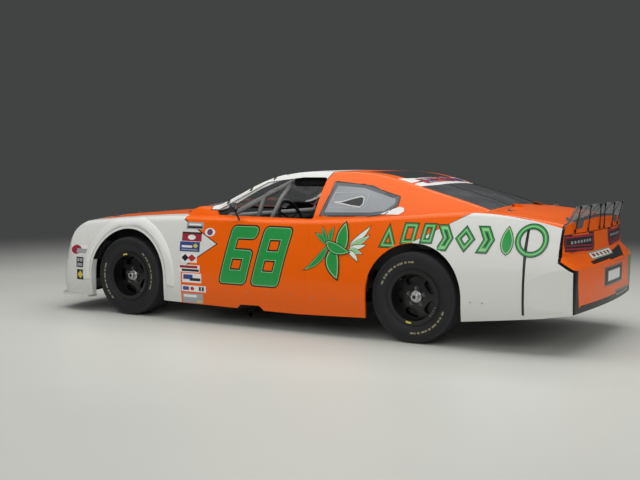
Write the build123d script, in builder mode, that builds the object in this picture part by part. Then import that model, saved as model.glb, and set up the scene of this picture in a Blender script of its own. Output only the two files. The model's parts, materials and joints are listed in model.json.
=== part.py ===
from build123d import *
import math
import os

# A full-size stock car: a tube-framed racing saloon with sheet body panels.
# Millimetres. X forward, Y to the driver's left, Z up; the origin is on the ground, in the middle of
# the car's outline.

os.makedirs("parts", exist_ok=True)

# ------------------------------------------------------------------ driving dimensions
wheelbase = 2740
front_overhang = 960        # front axle to the splitter's tip
rear_overhang = 1247        # rear axle to the middle of the rear bumper
half_width = 965            # widest place of the doors
belt_height = 893           # shoulder of the door below the side window
roof_height = 1283
wall = 20                   # thickness of a body panel with its frame
seam = 0.6                  # joint between two fixed panels
lid_gap = 6                 # joint round the hood and the decklid

tyre_radius = 345
tyre_width = 290
bead_radius = 195
wheel_tuck = 43             # the tyre's outer face lies this far inside the body's side
steer_range = 22            # degrees each way
running_gap = 0.3           # a pin in its bore
moving_gap = 6              # between a moving piece and its neighbour

rail_bottom = 150
tube_radius = 22

# ------------------------------------------------------------------ places that follow from them
length = wheelbase + front_overhang + rear_overhang
front = length / 2 - front_overhang       # X of the front axle
rear = front - wheelbase                  # X of the rear axle
middle = (front + rear) / 2               # the cabin is placed from here
wheel_y = half_width - wheel_tuck - tyre_width / 2
axle_z = tyre_radius

arch_front = (front - 23, 352, 412)       # x, z, radius of the front wheel arch
arch_rear = (rear - 14, 364, 388)


def section_plane(x):
    """A plane across the car: its first axis is Y, its second is Z."""
    return Plane(origin=(x, 0, 0), x_dir=(0, 1, 0), z_dir=(1, 0, 0))


def side_plane(y=0):
    """A plane along the car: its first axis is X, its second is Z, and it faces -Y."""
    return Plane(origin=(0, y, 0), x_dir=(1, 0, 0), z_dir=(0, -1, 0))


# ------------------------------------------------------------------ the lower body's surface
# x, sill z, sill tuck, flank z, flank tuck, shoulder z, shoulder tuck, crown z, shoulder radius
# A tuck is how far that point lies inside half_width; heights are from the ground.
body_stations = (
    (front + 1030, 150, 35, 450, 25, belt_height - 193, 145, belt_height - 148, 60),
    (front + 480, 150, 30, 480, 20, belt_height - 81, 115, belt_height - 35, 70),
    (front, 160, 15, 520, 8, belt_height - 38, 85, belt_height + 7, 70),
    (middle + 760, 160, 15, 520, 8, belt_height - 8, 65, belt_height + 45, 60),
    (middle - 480, 150, 15, 500, 8, belt_height + 2, 70, belt_height + 47, 60),
    (rear + 370, 160, 15, 520, 8, belt_height + 32, 95, belt_height + 82, 55),
    (rear - 130, 190, 15, 540, 8, belt_height + 72, 135, belt_height + 122, 50),
    (rear - 510, 210, 20, 560, 15, belt_height + 87, 165, belt_height + 127, 45),
    (rear - 1080, 280, 80, 600, 70, belt_height + 22, 195, belt_height + 57, 40),
    (rear - 1380, 300, 115, 600, 105, belt_height - 3, 220, belt_height + 32, 40),
)

# z, x of the nose's middle
nose_levels = ((60, front + 900), (230, front + 917), (400, front + 908), (600, front + 852),
               (706, front + 795), (790, front + 680), (900, front + 455), (1010, front + 200))
nose_root = front - 480    # the nose's plan runs ahead from here
nose_bow = 105              # the nose's middle stands this far ahead of its corners
nose_corner_radius = 210
# z, x of the tail's middle
tail_levels = ((60, rear - 1235), (500, rear - 1247), (612, rear - 1247), (698, rear - 1160),
               (910, rear - 1146), (1100, rear - 1135))
tail_root = rear + 100     # the tail's plan runs back from here
tail_bow = 62
tail_corner_radius = 90


def lower_body(inset):
    """The closed form of everything below the side windows, drawn in by inset."""
    with BuildPart() as form:
        for x, sill_z, sill_tuck, flank_z, flank_tuck, shoulder_z, shoulder_tuck, crown_z, radius \
                in body_stations:
            sill = half_width - sill_tuck - inset
            flank = half_width - flank_tuck - inset
            shoulder = half_width - shoulder_tuck - inset
            top = shoulder_z - inset
            foot = sill_z - inset
            with BuildSketch(section_plane(x)) as section:
                with BuildLine():
                    Line((-sill, foot), (sill, foot))
                    ThreePointArc((sill, foot), (flank, flank_z), (shoulder, top))
                    ThreePointArc((shoulder, top), (0, crown_z - inset), (-shoulder, top))
                    ThreePointArc((-shoulder, top), (-flank, flank_z), (-sill, foot))
                make_face()
                fillet([v for v in section.vertices() if v.Y > foot + 1], radius)
        loft()
    return form.part


def plan_outline(z, x_back, wide, x_middle, bow, corner_y, radius):
    """A level outline, square at x_back and bowed at x_middle, where its corners are round."""
    x_corner = x_middle - math.copysign(bow, x_middle - x_back)
    with BuildSketch(Plane.XY.offset(z)) as outline:
        with BuildLine():
            Polyline((x_corner, -corner_y), (x_back, -wide), (x_back, wide), (x_corner, corner_y))
            ThreePointArc((x_corner, corner_y), (x_middle, 0), (x_corner, -corner_y))
        make_face()
        fillet([v for v in outline.vertices() if abs(v.X - x_corner) < 1], radius)
    return outline.sketch


def nose_form(inset):
    """What the front bumper's plan leaves of the body, drawn in by inset."""
    outlines = [plan_outline(z, nose_root, half_width + 95, x - inset, nose_bow, half_width - 50 - inset,
                             nose_corner_radius - inset) for z, x in nose_levels]
    with BuildPart() as form:
        loft(outlines)
    return form.part


def tail_form(inset):
    """What the rear bumper's plan leaves of the body, drawn in by inset."""
    outlines = [plan_outline(z, tail_root, half_width + 135, x + inset, tail_bow, half_width - 89 - inset,
                             tail_corner_radius - inset) for z, x in tail_levels]
    with BuildPart() as form:
        loft(outlines, ruled=True)
    return form.part


# ------------------------------------------------------------------ the greenhouse's surface
cabin_rise = 390            # from the belt to the roof, for the drops given below


def below_roof(drop):
    """A height under the roof's; the drop grows and shrinks with the cabin's rise."""
    return roof_height - drop * (roof_height - belt_height) / cabin_rise


# x, half width at the foot, ridge y, ridge z, crown z, bulge of the side
greenhouse_foot = belt_height - 133
greenhouse_stations = (
    (middle + 860, 880, 835, below_roof(489), below_roof(392), 4),
    (middle + 517, 896, 790, below_roof(321), below_roof(250), 10),
    (middle + 108, 908, 690, below_roof(119), below_roof(82), 30),
    (middle - 165, 910, 630, below_roof(28), below_roof(13), 40),
    (middle - 538, 910, 610, below_roof(12), roof_height, 42),
    (middle - 930, 902, 612, below_roof(33), below_roof(17), 40),
    (middle - 1210, 900, 620, below_roof(103), below_roof(68), 32),
    (middle - 1550, 870, 640, below_roof(198), below_roof(148), 20),
    (middle - 1890, 830, 665, below_roof(297), below_roof(262), 6),
    (middle - 2010, 815, 680, below_roof(333), below_roof(300), 4),
)
ridge_radius = 38


def greenhouse(inset):
    """The closed form of roof, pillars and windows, drawn in by inset."""
    with BuildPart() as form:
        for x, foot_y, ridge_y, ridge_z, crown_z, bulge in greenhouse_stations:
            foot = foot_y - inset
            ridge = ridge_y - inset * 0.8
            top = ridge_z - inset * 0.8
            half_y = (foot + ridge) / 2 + bulge * 0.6
            half_z = (greenhouse_foot + top) / 2 + bulge * 0.6
            with BuildSketch(section_plane(x)) as section:
                with BuildLine():
                    Line((-foot, greenhouse_foot), (foot, greenhouse_foot))
                    ThreePointArc((foot, greenhouse_foot), (half_y, half_z), (ridge, top))
                    ThreePointArc((ridge, top), (0, crown_z - inset), (-ridge, top))
                    ThreePointArc((-ridge, top), (-half_y, half_z), (-foot, greenhouse_foot))
                make_face()
                fillet([v for v in section.vertices() if v.Y > greenhouse_foot + 1], ridge_radius)
        loft()
    return form.part


def body_form(inset):
    """The lower body with its nose and tail trimmed to their plans."""
    with BuildPart() as form:
        with Locations(((nose_root + tail_root) / 2, 0, 600)):
            Box(nose_root - tail_root, 2 * half_width + 80, 1300)
        add(nose_form(inset))
        add(tail_form(inset))
        add(lower_body(inset), mode=Mode.INTERSECT)
    return form.part


# ------------------------------------------------------------------ helpers for plain pieces
def side_prism(points, y_from, y_to):
    """A closed outline in X and Z, as thick as from y_from to y_to."""
    with BuildSketch(side_plane(y_to)) as outline:
        with BuildLine():
            Polyline(*points, close=True)
        make_face()
    with BuildPart() as prism:
        extrude(outline.sketch, amount=y_to - y_from)
    return prism.part


def plan_prism(points, z_from, z_to):
    """A closed outline in X and Y, as high as from z_from to z_to."""
    with BuildSketch(Plane.XY.offset(z_from)) as outline:
        with BuildLine():
            Polyline(*points, close=True)
        make_face()
    with BuildPart() as prism:
        extrude(outline.sketch, amount=z_to - z_from)
    return prism.part


def block(low, high):
    """A box between two corners."""
    size = [b - a for a, b in zip(low, high)]
    with BuildPart() as box:
        with Locations(tuple((a + b) / 2 for a, b in zip(low, high))):
            Box(*size)
    return box.part


def rod(start, end, radius):
    """A round bar between two points."""
    run = Vector(*end) - Vector(*start)
    with BuildSketch(Plane(origin=start, z_dir=run)) as section:
        Circle(radius)
    with BuildPart() as bar:
        extrude(section.sketch, amount=run.length)
    return bar.part


def save(part, name):
    part.label = name
    export_step(part, f"parts/{name}.step")


def both_sides(part):
    """The left piece and its mirror image on the right."""
    return (("left", part), ("right", mirror(part, about=Plane.XZ)))


# ------------------------------------------------------------------ body shell
skirt_line = (          # bottom edge of the body, from the nose to the tail: x, z
    (front + 1100, 152), (front + 410, 152), (front + 266, 170), (front - 447, 164),
    (middle + 750, 161), (middle + 740, 145), (middle + 196, 140), (middle + 150, 186),
    (middle - 33, 189), (middle - 91, 141), (middle - 497, 153), (rear + 367, 168),
    (rear - 398, 203), (rear - 853, 250), (rear - 1214, 290), (rear - 1400, 300),
)
big = 3000              # past the ends of anything

outer_body = body_form(0)
inner_body = body_form(wall)
outer_top = greenhouse(0)
inner_top = greenhouse(wall)

keep = side_prism(((skirt_line[0][0], big / 2), *skirt_line, (skirt_line[-1][0], big / 2)), -big / 2,
                  big / 2)


def wheel_arch(arch, y_from, y_to, grow=0):
    x, z, radius = arch
    with BuildPart() as cut:
        with Locations((x, y_from, z)):
            Cylinder(radius + grow, y_to - y_from, rotation=(-90, 0, 0),
                     align=(Align.CENTER, Align.CENTER, Align.MIN))
        add(block((x - radius - grow, y_from, 0), (x + radius + grow, y_to, z)))
    return cut.part


arch_depth = 430        # from the side of the car inwards
with BuildPart() as body_shell:
    add(outer_body)
    add(keep, mode=Mode.INTERSECT)
    add(inner_body, mode=Mode.SUBTRACT)
    add(inner_top, mode=Mode.SUBTRACT)
    for arch in (arch_front, arch_rear):
        for y_from in (half_width + 60 - arch_depth, -half_width - 60):
            add(wheel_arch(arch, y_from, y_from + arch_depth), mode=Mode.SUBTRACT)

# seams between the panels
nose_seam = front + 470         # front bumper to fender
door_front = middle + 752
door_rear = middle - 478
tail_seam = rear - 853          # quarter panel to rear bumper
hood_back = middle + 850
hood_front = front + 505
hood_half = 735
deck_front = middle - 1925
deck_half = 640
deck_lip = belt_height - 44     # the decklid turns down over the tail to here
low, high = -200, big / 2


def panel(*regions):
    """The body shell inside every one of the regions."""
    with BuildPart() as piece:
        add(body_shell.part)
        for region in regions:
            add(region, mode=Mode.INTERSECT)
    return piece.part


def band(x_back, x_front, y_from=-big / 2, y_to=big / 2, z_from=low):
    """A stretch of the car's length, less half a seam at each end."""
    return block((x_back + seam / 2, y_from, z_from), (x_front - seam / 2, y_to, high))


hood_low = (hood_back, -hood_half, belt_height - 250)
hood_high = (hood_front, hood_half, high)
deck_low = (-big / 2 - 1000, -deck_half, deck_lip)
deck_high = (deck_front, deck_half, high)


def without(part, *cutters):
    with BuildPart() as piece:
        add(part)
        for cutter in cutters:
            add(cutter, mode=Mode.SUBTRACT)
    return piece.part


def grown_block(low_corner, high_corner, gap):
    return block([v - gap for v in low_corner], [v + gap for v in high_corner])


flare_width = 22            # of the raised lip round the front wheel arch, seen from the side
flare_depth = 65            # how far inside half_width the lip is rolled
raised_body = body_form(-lid_gap)       # 6 mm proud of the panels
with BuildPart() as front_flare:
    add(wheel_arch(arch_front, half_width - flare_depth, half_width + 60, flare_width))
    add(wheel_arch(arch_front, half_width - flare_depth - 1, half_width + 61), mode=Mode.SUBTRACT)
    add(raised_body, mode=Mode.INTERSECT)
    add(keep, mode=Mode.INTERSECT)

grille_half = 400           # half the width of the air intake in the nose
grille_z = (235, 385)


def intake(x_from, x_to, grow):
    """The intake's form between two places along the car, larger all round by grow."""
    with BuildPart() as form:
        add(block((x_from, -grille_half - grow, grille_z[0] - grow),
                  (x_to, grille_half + grow, grille_z[1] + grow)))
        fillet(form.edges().filter_by(Axis.X), 25 + grow)
    return form.part


hood_opening = grown_block(hood_low, hood_high, lid_gap)
deck_opening = grown_block(deck_low, deck_high, lid_gap)

cowl_low = (middle + 560, -hood_half, belt_height - 150)
cowl_high = (hood_back - seam, hood_half, high)
cowl_region = block(cowl_low, cowl_high)
cowl_opening = grown_block(cowl_low, cowl_high, seam)
tulip_low = (deck_front + lid_gap, -deck_half, belt_height - 100)
tulip_high = (middle - 1640, deck_half, high)
tulip_region = block(tulip_low, tulip_high)
tulip_opening = grown_block(tulip_low, tulip_high, seam)

save(without(panel(band(nose_seam, big)), hood_opening, intake(front + 700, front + 1100, 0)),
     "front_bumper_cover")
save(without(panel(band(-big, tail_seam)), deck_opening), "rear_bumper_cover")
save(panel(cowl_region), "cowl_panel")
save(panel(tulip_region), "tulip_panel")
side_panels = {
    "front_fender": without(panel(band(door_front, nose_seam, seam, big)), hood_opening, cowl_opening),
    "door": without(panel(band(door_rear, door_front, seam, big)), cowl_opening),
    "quarter_panel": without(panel(band(tail_seam, door_rear, seam, big)), deck_opening, tulip_opening),
}
with BuildPart() as front_fender:
    add(side_panels["front_fender"])
    add(front_flare.part)
side_panels["front_fender"] = front_fender.part
for name, part in side_panels.items():
    for side, piece in both_sides(part):
        save(piece, f"{side}_{name}")

# ------------------------------------------------------------------ greenhouse shell and glass
pillar = 45                 # A-pillar's width, seen from above
body_clearance = body_form(-0.3)
with BuildPart() as top_shell:
    add(outer_top)
    add(inner_top, mode=Mode.SUBTRACT)
    add(body_clearance, mode=Mode.SUBTRACT)

windshield_back = middle - 105
rear_window_front = middle - 1215
rear_window_back = middle - 1960
side_window = (             # x, z
    (middle + 545, belt_height + 12), (middle + 46, below_roof(99)), (middle - 277, below_roof(58)),
    (middle - 500, below_roof(56)), (middle - 480, belt_height + 6))
quarter_window = (
    (middle - 565, belt_height + 25), (middle - 574, below_roof(81)),
    (middle - 935, below_roof(117)), (middle - 1123, below_roof(202)),
    (middle - 1139, below_roof(272)), (middle - 1027, belt_height + 42))


def ridge_y(x):
    """Half the roof's width at x, read from the stations in a straight line between them."""
    rows = greenhouse_stations
    for ahead, behind in zip(rows, rows[1:]):
        if behind[0] <= x <= ahead[0]:
            share = (x - behind[0]) / (ahead[0] - behind[0])
            return behind[2] + share * (ahead[2] - behind[2])
    return rows[0][2] if x > rows[0][0] else rows[-1][2]


def glass_prism(x_front, x_back, steps, inside, gap):
    """What is cut down through the roof for a window whose sides follow the ridge."""
    xs = [x_front + (x_back - x_front) * i / steps for i in range(steps + 1)]
    xs[0] += -gap
    xs[-1] += gap
    right = [(x, -(ridge_y(x) - inside - gap)) for x in xs]
    left = [(x, -y) for x, y in reversed(right)]
    return plan_prism(right + left, belt_height - 160, roof_height + 60)


def window_prism(points, gap):
    """What is cut through the side for a window, drawn in by gap."""
    with BuildSketch(side_plane(big / 2)) as outline:
        with BuildLine():
            Polyline(*points, close=True)
        make_face()
        fillet(outline.vertices(), 25)
        if gap:
            offset(amount=-gap)
    with BuildPart() as prism:
        extrude(outline.sketch, amount=big / 2)
    return prism.part


windshield_cut = glass_prism(middle + 900, windshield_back, 6, pillar, 0)
rear_window_cut = glass_prism(rear_window_front, rear_window_back, 4, 40, 0)
side_cut = window_prism(side_window, 0)
quarter_cut = window_prism(quarter_window, 0)
with BuildPart() as top_frame:
    add(top_shell.part)
    add(windshield_cut, mode=Mode.SUBTRACT)
    add(rear_window_cut, mode=Mode.SUBTRACT)
    for cut in (side_cut, quarter_cut):
        add(cut, mode=Mode.SUBTRACT)
        add(mirror(cut, about=Plane.XZ), mode=Mode.SUBTRACT)

sail_front = middle - 484
sail_steps = 6
sail_xs = [sail_front + (middle - 2100 - sail_front) * i / sail_steps for i in range(sail_steps + 1)]
sail_inner = [(x, ridge_y(x) - 18) for x in sail_xs]
sail_region = plan_prism(sail_inner + [(sail_xs[-1], big / 2), (sail_xs[0], big / 2)],
                         belt_height - 160, roof_height + 60)
with BuildPart() as sail:
    add(top_frame.part)
    add(sail_region, mode=Mode.INTERSECT)
for side, piece in both_sides(sail.part):
    save(piece, f"{side}_sail_panel")
with BuildPart() as sail_room:
    add(plan_prism([(sail_front + seam, sail_inner[0][1] - seam)] + [(x, y - seam) for x, y in sail_inner]
                   + [(sail_xs[-1], big / 2), (sail_front + seam, big / 2)], belt_height - 170,
                   roof_height + 70))
save(without(top_frame.part, sail_room.part, mirror(sail_room.part, about=Plane.XZ)), "roof_panel")

glass_outer = greenhouse(5)
glass_inner = greenhouse(10)
with BuildPart() as glass_layer:
    add(glass_outer)
    add(glass_inner, mode=Mode.SUBTRACT)
    add(body_clearance, mode=Mode.SUBTRACT)


def glass(*cuts):
    with BuildPart() as pane:
        add(glass_layer.part)
        for cut in cuts:
            add(cut, mode=Mode.INTERSECT)
    return pane.part


glass_gap = 0.5
save(glass(glass_prism(middle + 900, windshield_back, 6, pillar, glass_gap)), "windshield")
save(glass(glass_prism(rear_window_front, rear_window_back, 4, 40, glass_gap)), "rear_window")
quarter_glass = glass(window_prism(quarter_window, glass_gap))
with BuildPart() as quarter_windows:
    add(quarter_glass)
    add(mirror(quarter_glass, about=Plane.XZ))
save(quarter_windows.part, "quarter_windows")

# ------------------------------------------------------------------ hood and decklid with their hinges
hinge_pin_radius = 5
hinge_eye_radius = 9
hinge_y = 250
hood_hinge = (hood_back - 3, belt_height + 58)      # x, z
deck_hinge = (deck_front + 3, belt_height + 135)


def hinge_eyes(hinge, reach, sink):
    """Two pairs of eyes that stand on a lid; reach runs from the hinge line onto the lid."""
    x, z = hinge
    with BuildPart() as eyes:
        for side in (-1, 1):
            for step in (-20, 20):
                y = side * hinge_y + step
                add(rod((x, y - 5, z), (x, y + 5, z), hinge_eye_radius))
                add(side_prism(((x, z + hinge_eye_radius), (x + reach, z - sink + 20),
                                (x + reach, z - sink), (x + reach * 0.12, z - sink),
                                (x, z - hinge_eye_radius)), y - 5, y + 5))
        for side in (-1, 1):
            y = side * hinge_y
            add(rod((x, y - 40, z), (x, y + 40, z), hinge_pin_radius + running_gap),
                mode=Mode.SUBTRACT)
    return eyes.part


def hinge_brackets(hinge, reach, sink):
    """A bracket with a cross pin for each pair of eyes, standing on the body."""
    x, z = hinge
    with BuildPart() as brackets:
        for side in (-1, 1):
            y = side * hinge_y
            add(rod((x, y - 27, z), (x, y + 27, z), hinge_pin_radius))
            add(rod((x, y - 9, z), (x, y + 9, z), hinge_eye_radius))
            add(side_prism(((x, z + hinge_eye_radius), (x - reach, z - sink + 20),
                            (x - reach, z - sink), (x - math.copysign(hinge_eye_radius, reach), z - sink),
                            (x, z - hinge_eye_radius)), y - 9, y + 9))
        add(body_clearance, mode=Mode.SUBTRACT)
    return brackets.part


save(hinge_brackets(hood_hinge, 32, 40), "hood_hinges")
save(hinge_brackets(deck_hinge, -45, 50), "decklid_hinges")
with BuildPart() as hood:
    add(panel(block(hood_low, hood_high)))
    add(hinge_eyes(hood_hinge, 60, 24))
save(hood.part, "hood")
with BuildPart() as decklid:
    add(panel(block(deck_low, deck_high)))
    add(hinge_eyes(deck_hinge, -60, 29))
save(decklid.part, "decklid")

# ------------------------------------------------------------------ spoiler and its braces
spoiler_foot = (rear - 1086, belt_height - 13)      # x, z where the blade starts, inside the deck
spoiler_top = (rear - 1152, below_roof(236))
spoiler_foot_half = 800
spoiler_top_half = 710
blade = 5
flange_half = 585
brace_ys = (-620, -350, -65, 65, 350, 620)
brace_radius = 4

(x0, z0), (x1, z1) = spoiler_foot, spoiler_top


def near_tail(part):
    """The piece of a body form round the spoiler."""
    with BuildPart() as piece:
        add(part)
        add(block((x1 - 150, -half_width, deck_lip - 100), (x0 + 100, half_width, roof_height)),
            mode=Mode.INTERSECT)
    return piece.part


deck_free = near_tail(raised_body)
deck_clearance = near_tail(body_clearance)
with BuildPart() as spoiler:
    add(side_prism(((x0, z0), (x0 - blade, z0), (x1 - blade, z1), (x1, z1)), -spoiler_foot_half,
                   spoiler_foot_half))
    with BuildSketch(section_plane(x1 - 100)) as face:
        with BuildLine():
            Polyline((-spoiler_foot_half, z0), (spoiler_foot_half, z0), (spoiler_top_half, z1),
                     (-spoiler_top_half, z1), close=True)
        make_face()
    extrude(amount=300, mode=Mode.INTERSECT)
    for y_from, y_to in ((-half_width, -flange_half), (flange_half, half_width)):
        with BuildPart(mode=Mode.PRIVATE) as over_quarter:
            add(deck_free)
            add(block((x1 - 100, y_from, 0), (x0 + 50, y_to, roof_height)), mode=Mode.INTERSECT)
        add(over_quarter.part, mode=Mode.SUBTRACT)
    with BuildPart(mode=Mode.PRIVATE) as flange:
        add(deck_free)
        add(block((x0 - 45, -flange_half, z0), (x0 + 40, flange_half, z1)), mode=Mode.INTERSECT)
    add(flange.part)
    add(deck_clearance, mode=Mode.SUBTRACT)
save(spoiler.part, "spoiler")


def tail_x(y):
    """The tail's upper edge at y."""
    return rear - 1147 + tail_bow * (y / (half_width - 89)) ** 2


with BuildPart() as spoiler_braces:
    for y in brace_ys:
        foot = (tail_x(y) - brace_radius - 4, y, deck_lip + 14)
        head = (x1 - blade - brace_radius - 0.5, y, z1 - 14)
        add(rod(foot, head, brace_radius))
        add(block((foot[0] - 5, y - 9, foot[2] - 9), (foot[0] + 40, y + 9, foot[2] + 9)))
        add(block((head[0] - 5, y - 12, head[2] - 10), (head[0] + brace_radius + 0.2, y + 12,
                                                        head[2] + 12)))
    add(deck_clearance, mode=Mode.SUBTRACT)
save(spoiler_braces.part, "spoiler_braces")

# ------------------------------------------------------------------ wheels
bead_half = 122             # half the distance between the tyre's bead faces
rim_flange_radius = 208
barrel_radius = 178         # inside of the rim
disc_y = 45                 # the wheel centre's plate, outward of the wheel's middle
hub_radius = 48
spindle_radius = 20
spindle_end = 80
brake_inner, brake_outer, brake_from, brake_to = 75, 150, -10, 12
slots = 5
slot_length = 52            # between the centres of a slot's round ends
slot_radius = 30
slot_circle = 128


def ring(points):
    """A closed outline in radius and Y, turned about the wheel's axle."""
    with BuildSketch(Plane.XY) as outline:
        with BuildLine():
            Polyline(*points, close=True)
        make_face()
    with BuildPart() as turned:
        revolve(outline.sketch, axis=Axis.Y)
    return turned.part


half_tread = tyre_width / 2
with BuildPart() as tyre:
    with BuildSketch(Plane.XY) as tyre_section:
        with BuildLine():
            Line((bead_radius + running_gap, -bead_half), (bead_radius + running_gap, bead_half))
            Line((bead_radius + running_gap, bead_half), (bead_radius + 20, bead_half))
            ThreePointArc((bead_radius + 20, bead_half), (280, half_tread), (325, half_tread - 10))
            ThreePointArc((325, half_tread - 10), (337, half_tread - 17), (342, half_tread - 30))
            ThreePointArc((342, half_tread - 30), (tyre_radius, 0), (342, -half_tread + 30))
            ThreePointArc((342, -half_tread + 30), (337, -half_tread + 17), (325, -half_tread + 10))
            ThreePointArc((325, -half_tread + 10), (280, -half_tread), (bead_radius + 20, -bead_half))
            Line((bead_radius + 20, -bead_half), (bead_radius + running_gap, -bead_half))
        make_face()
    revolve(axis=Axis.Y)

lip = bead_half + running_gap
with BuildPart() as rim:
    add(ring(((barrel_radius, -lip - 6), (rim_flange_radius, -lip - 6), (rim_flange_radius, -lip),
              (bead_radius, -lip), (bead_radius, lip), (rim_flange_radius, lip),
              (rim_flange_radius, lip + 6), (barrel_radius, lip + 6))))
    add(ring(((0, 5), (hub_radius, 5), (hub_radius, disc_y), (barrel_radius + 4, disc_y - 12),
              (barrel_radius + 4, disc_y - 2), (hub_radius, disc_y + 12), (hub_radius, disc_y + 22),
              (28, disc_y + 30), (28, spindle_end + 27), (0, spindle_end + 30))))
    with BuildSketch(Plane.XZ.offset(-200)) as slot_faces:
        with PolarLocations(slot_circle, slots):
            SlotCenterToCenter(slot_length, 2 * slot_radius, rotation=90)
    extrude(slot_faces.sketch, amount=200, mode=Mode.SUBTRACT)
    add(rod((0, 0, 0), (0, spindle_end + 6, 0), spindle_radius + running_gap), mode=Mode.SUBTRACT)

with BuildPart() as brake_disc:
    add(ring(((brake_inner, brake_from), (brake_outer, brake_from), (brake_outer, brake_to),
              (brake_inner, brake_to))))
    add(ring(((spindle_radius + running_gap, -4), (brake_inner + 2, -4),
              (brake_inner + 2, 5 - running_gap), (spindle_radius + running_gap, 5 - running_gap))))

wheel_places = {
    "front_left": (front, wheel_y, 0), "front_right": (front, -wheel_y, 180),
    "rear_left": (rear, wheel_y, 0), "rear_right": (rear, -wheel_y, 180),
}
for name, (x, y, turn) in wheel_places.items():
    place = Location((x, y, axle_z), (0, 0, turn))
    for kind, piece in (("tyre", tyre), ("rim", rim), ("brake_disc", brake_disc)):
        save(piece.part.moved(place), f"{name}_{kind}")

# ------------------------------------------------------------------ knuckles and front suspension
kingpin_y = wheel_y - 55
knuckle_half = 32
knuckle_low, knuckle_high = axle_z - 53, axle_z + 89
ball_radius = 10
arm_thick = 24
rail_inner, rail_outer = 340, 415
front_rail_z = (rail_bottom + 100.3, rail_bottom + 190)
lower_arm_z = (knuckle_low - moving_gap - arm_thick, knuckle_low - moving_gap)
upper_arm_z = (knuckle_high + moving_gap, knuckle_high + moving_gap + arm_thick)
steering_arm = 95           # from the kingpin back to the tie rod
tie_rod_radius = 11
tie_rod_z = front_rail_z[1] + moving_gap + 17

with BuildPart() as knuckle:
    add(block((front - 40, kingpin_y - knuckle_half, knuckle_low),
              (front + 40, kingpin_y + knuckle_half, knuckle_high)))
    add(rod((front, kingpin_y, axle_z), (front, wheel_y + spindle_end, axle_z), spindle_radius))
    with BuildPart(mode=Mode.PRIVATE) as caliper:
        add(block((front - 172, wheel_y - 42, axle_z - 60), (front - 96, wheel_y + 26, axle_z + 60)))
        add(rod((front, wheel_y - 60, axle_z), (front, wheel_y + 60, axle_z), barrel_radius - 7),
            mode=Mode.INTERSECT)
        add(rod((front, wheel_y + brake_from - 6, axle_z), (front, wheel_y + brake_to + 6, axle_z),
                brake_outer + 6), mode=Mode.SUBTRACT)
    add(caliper.part)
    add(block((front - 120, wheel_y - 42, axle_z - 30), (front - 38, wheel_y - 22, axle_z + 30)))
    add(block((front - steering_arm - 15, kingpin_y - 15, tie_rod_z - 8),
              (front - 38, kingpin_y + 15, tie_rod_z + 8)))
    for z_from, z_to in ((knuckle_low - 1, knuckle_low + 26), (knuckle_high - 26, knuckle_high + 1)):
        add(rod((front, kingpin_y, z_from), (front, kingpin_y, z_to), ball_radius + running_gap),
            mode=Mode.SUBTRACT)
for side, piece in both_sides(knuckle.part):
    save(piece, f"{side}_knuckle")

with BuildPart() as front_suspension:
    with BuildPart(mode=Mode.PRIVATE) as corner:
        for (z_from, z_to), base_y, spread in ((lower_arm_z, rail_outer + 0.3, 150),
                                               (upper_arm_z, rail_outer - 2.7, 60)):
            add(plan_prism(((front - spread, base_y), (front + spread, base_y),
                            (front + 22, kingpin_y), (front - 22, kingpin_y)), z_from, z_to))
            add(rod((front, kingpin_y, z_from), (front, kingpin_y, z_to), 22))
        add(plan_prism(((front - 95, base_y - 20), (front + 95, base_y - 20), (front + 20, kingpin_y - 90),
                        (front - 20, kingpin_y - 90)), lower_arm_z[0] - 1, lower_arm_z[1] + 1),
            mode=Mode.SUBTRACT)
        add(rod((front, kingpin_y, lower_arm_z[1] - 1), (front, kingpin_y, knuckle_low + 22),
                ball_radius))
        add(rod((front, kingpin_y, knuckle_high - 22), (front, kingpin_y, upper_arm_z[0] + 1),
                ball_radius))
        add(block((front - 60, rail_inner + 5, front_rail_z[1] + 0.3),
                  (front + 60, rail_outer - 3, upper_arm_z[1] + 10)))
    add(corner.part)
    add(mirror(corner.part, about=Plane.XZ))
save(front_suspension.part, "front_suspension")

rack_x = front - steering_arm
rack_half = 200
with BuildPart() as tie_rods:
    add(rod((rack_x, -(kingpin_y - 25), tie_rod_z), (rack_x, kingpin_y - 25, tie_rod_z),
            tie_rod_radius))
save(tie_rods.part, "tie_rods")
with BuildPart() as steering_rack:
    add(rod((rack_x, -rack_half, tie_rod_z), (rack_x, rack_half, tie_rod_z), 27))
    add(rod((rack_x, -rack_half - 1, tie_rod_z), (rack_x, rack_half + 1, tie_rod_z),
            tie_rod_radius + running_gap), mode=Mode.SUBTRACT)
save(steering_rack.part, "steering_rack")

# ------------------------------------------------------------------ frame, floor and bulkheads
rail_top = rail_bottom + 100
main_rail_y = (620, 700)
main_rail_x = (middle - 880, middle + 760)
rear_rail_y = (400, 475)
sheet = 6
firewall_x = middle + 700
floor_half = half_width - 60
tunnel_half = 140
tunnel_top = axle_z + 90


def rear_rail(y_from, y_to):
    """A rear rail: it climbs over the axle and runs back to the tail."""
    thick = 80
    line = ((rear + 590, rail_top + 0.3), (rear + 360, rail_top + 0.3), (rear + 210, axle_z + 115),
            (rear - 220, axle_z + 115), (rear - 340, axle_z + 15), (rear - 1010, axle_z + 15))
    upper = [(x, z + thick) for x, z in line]
    return side_prism((*line, *reversed(upper)), y_from, y_to)


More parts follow.
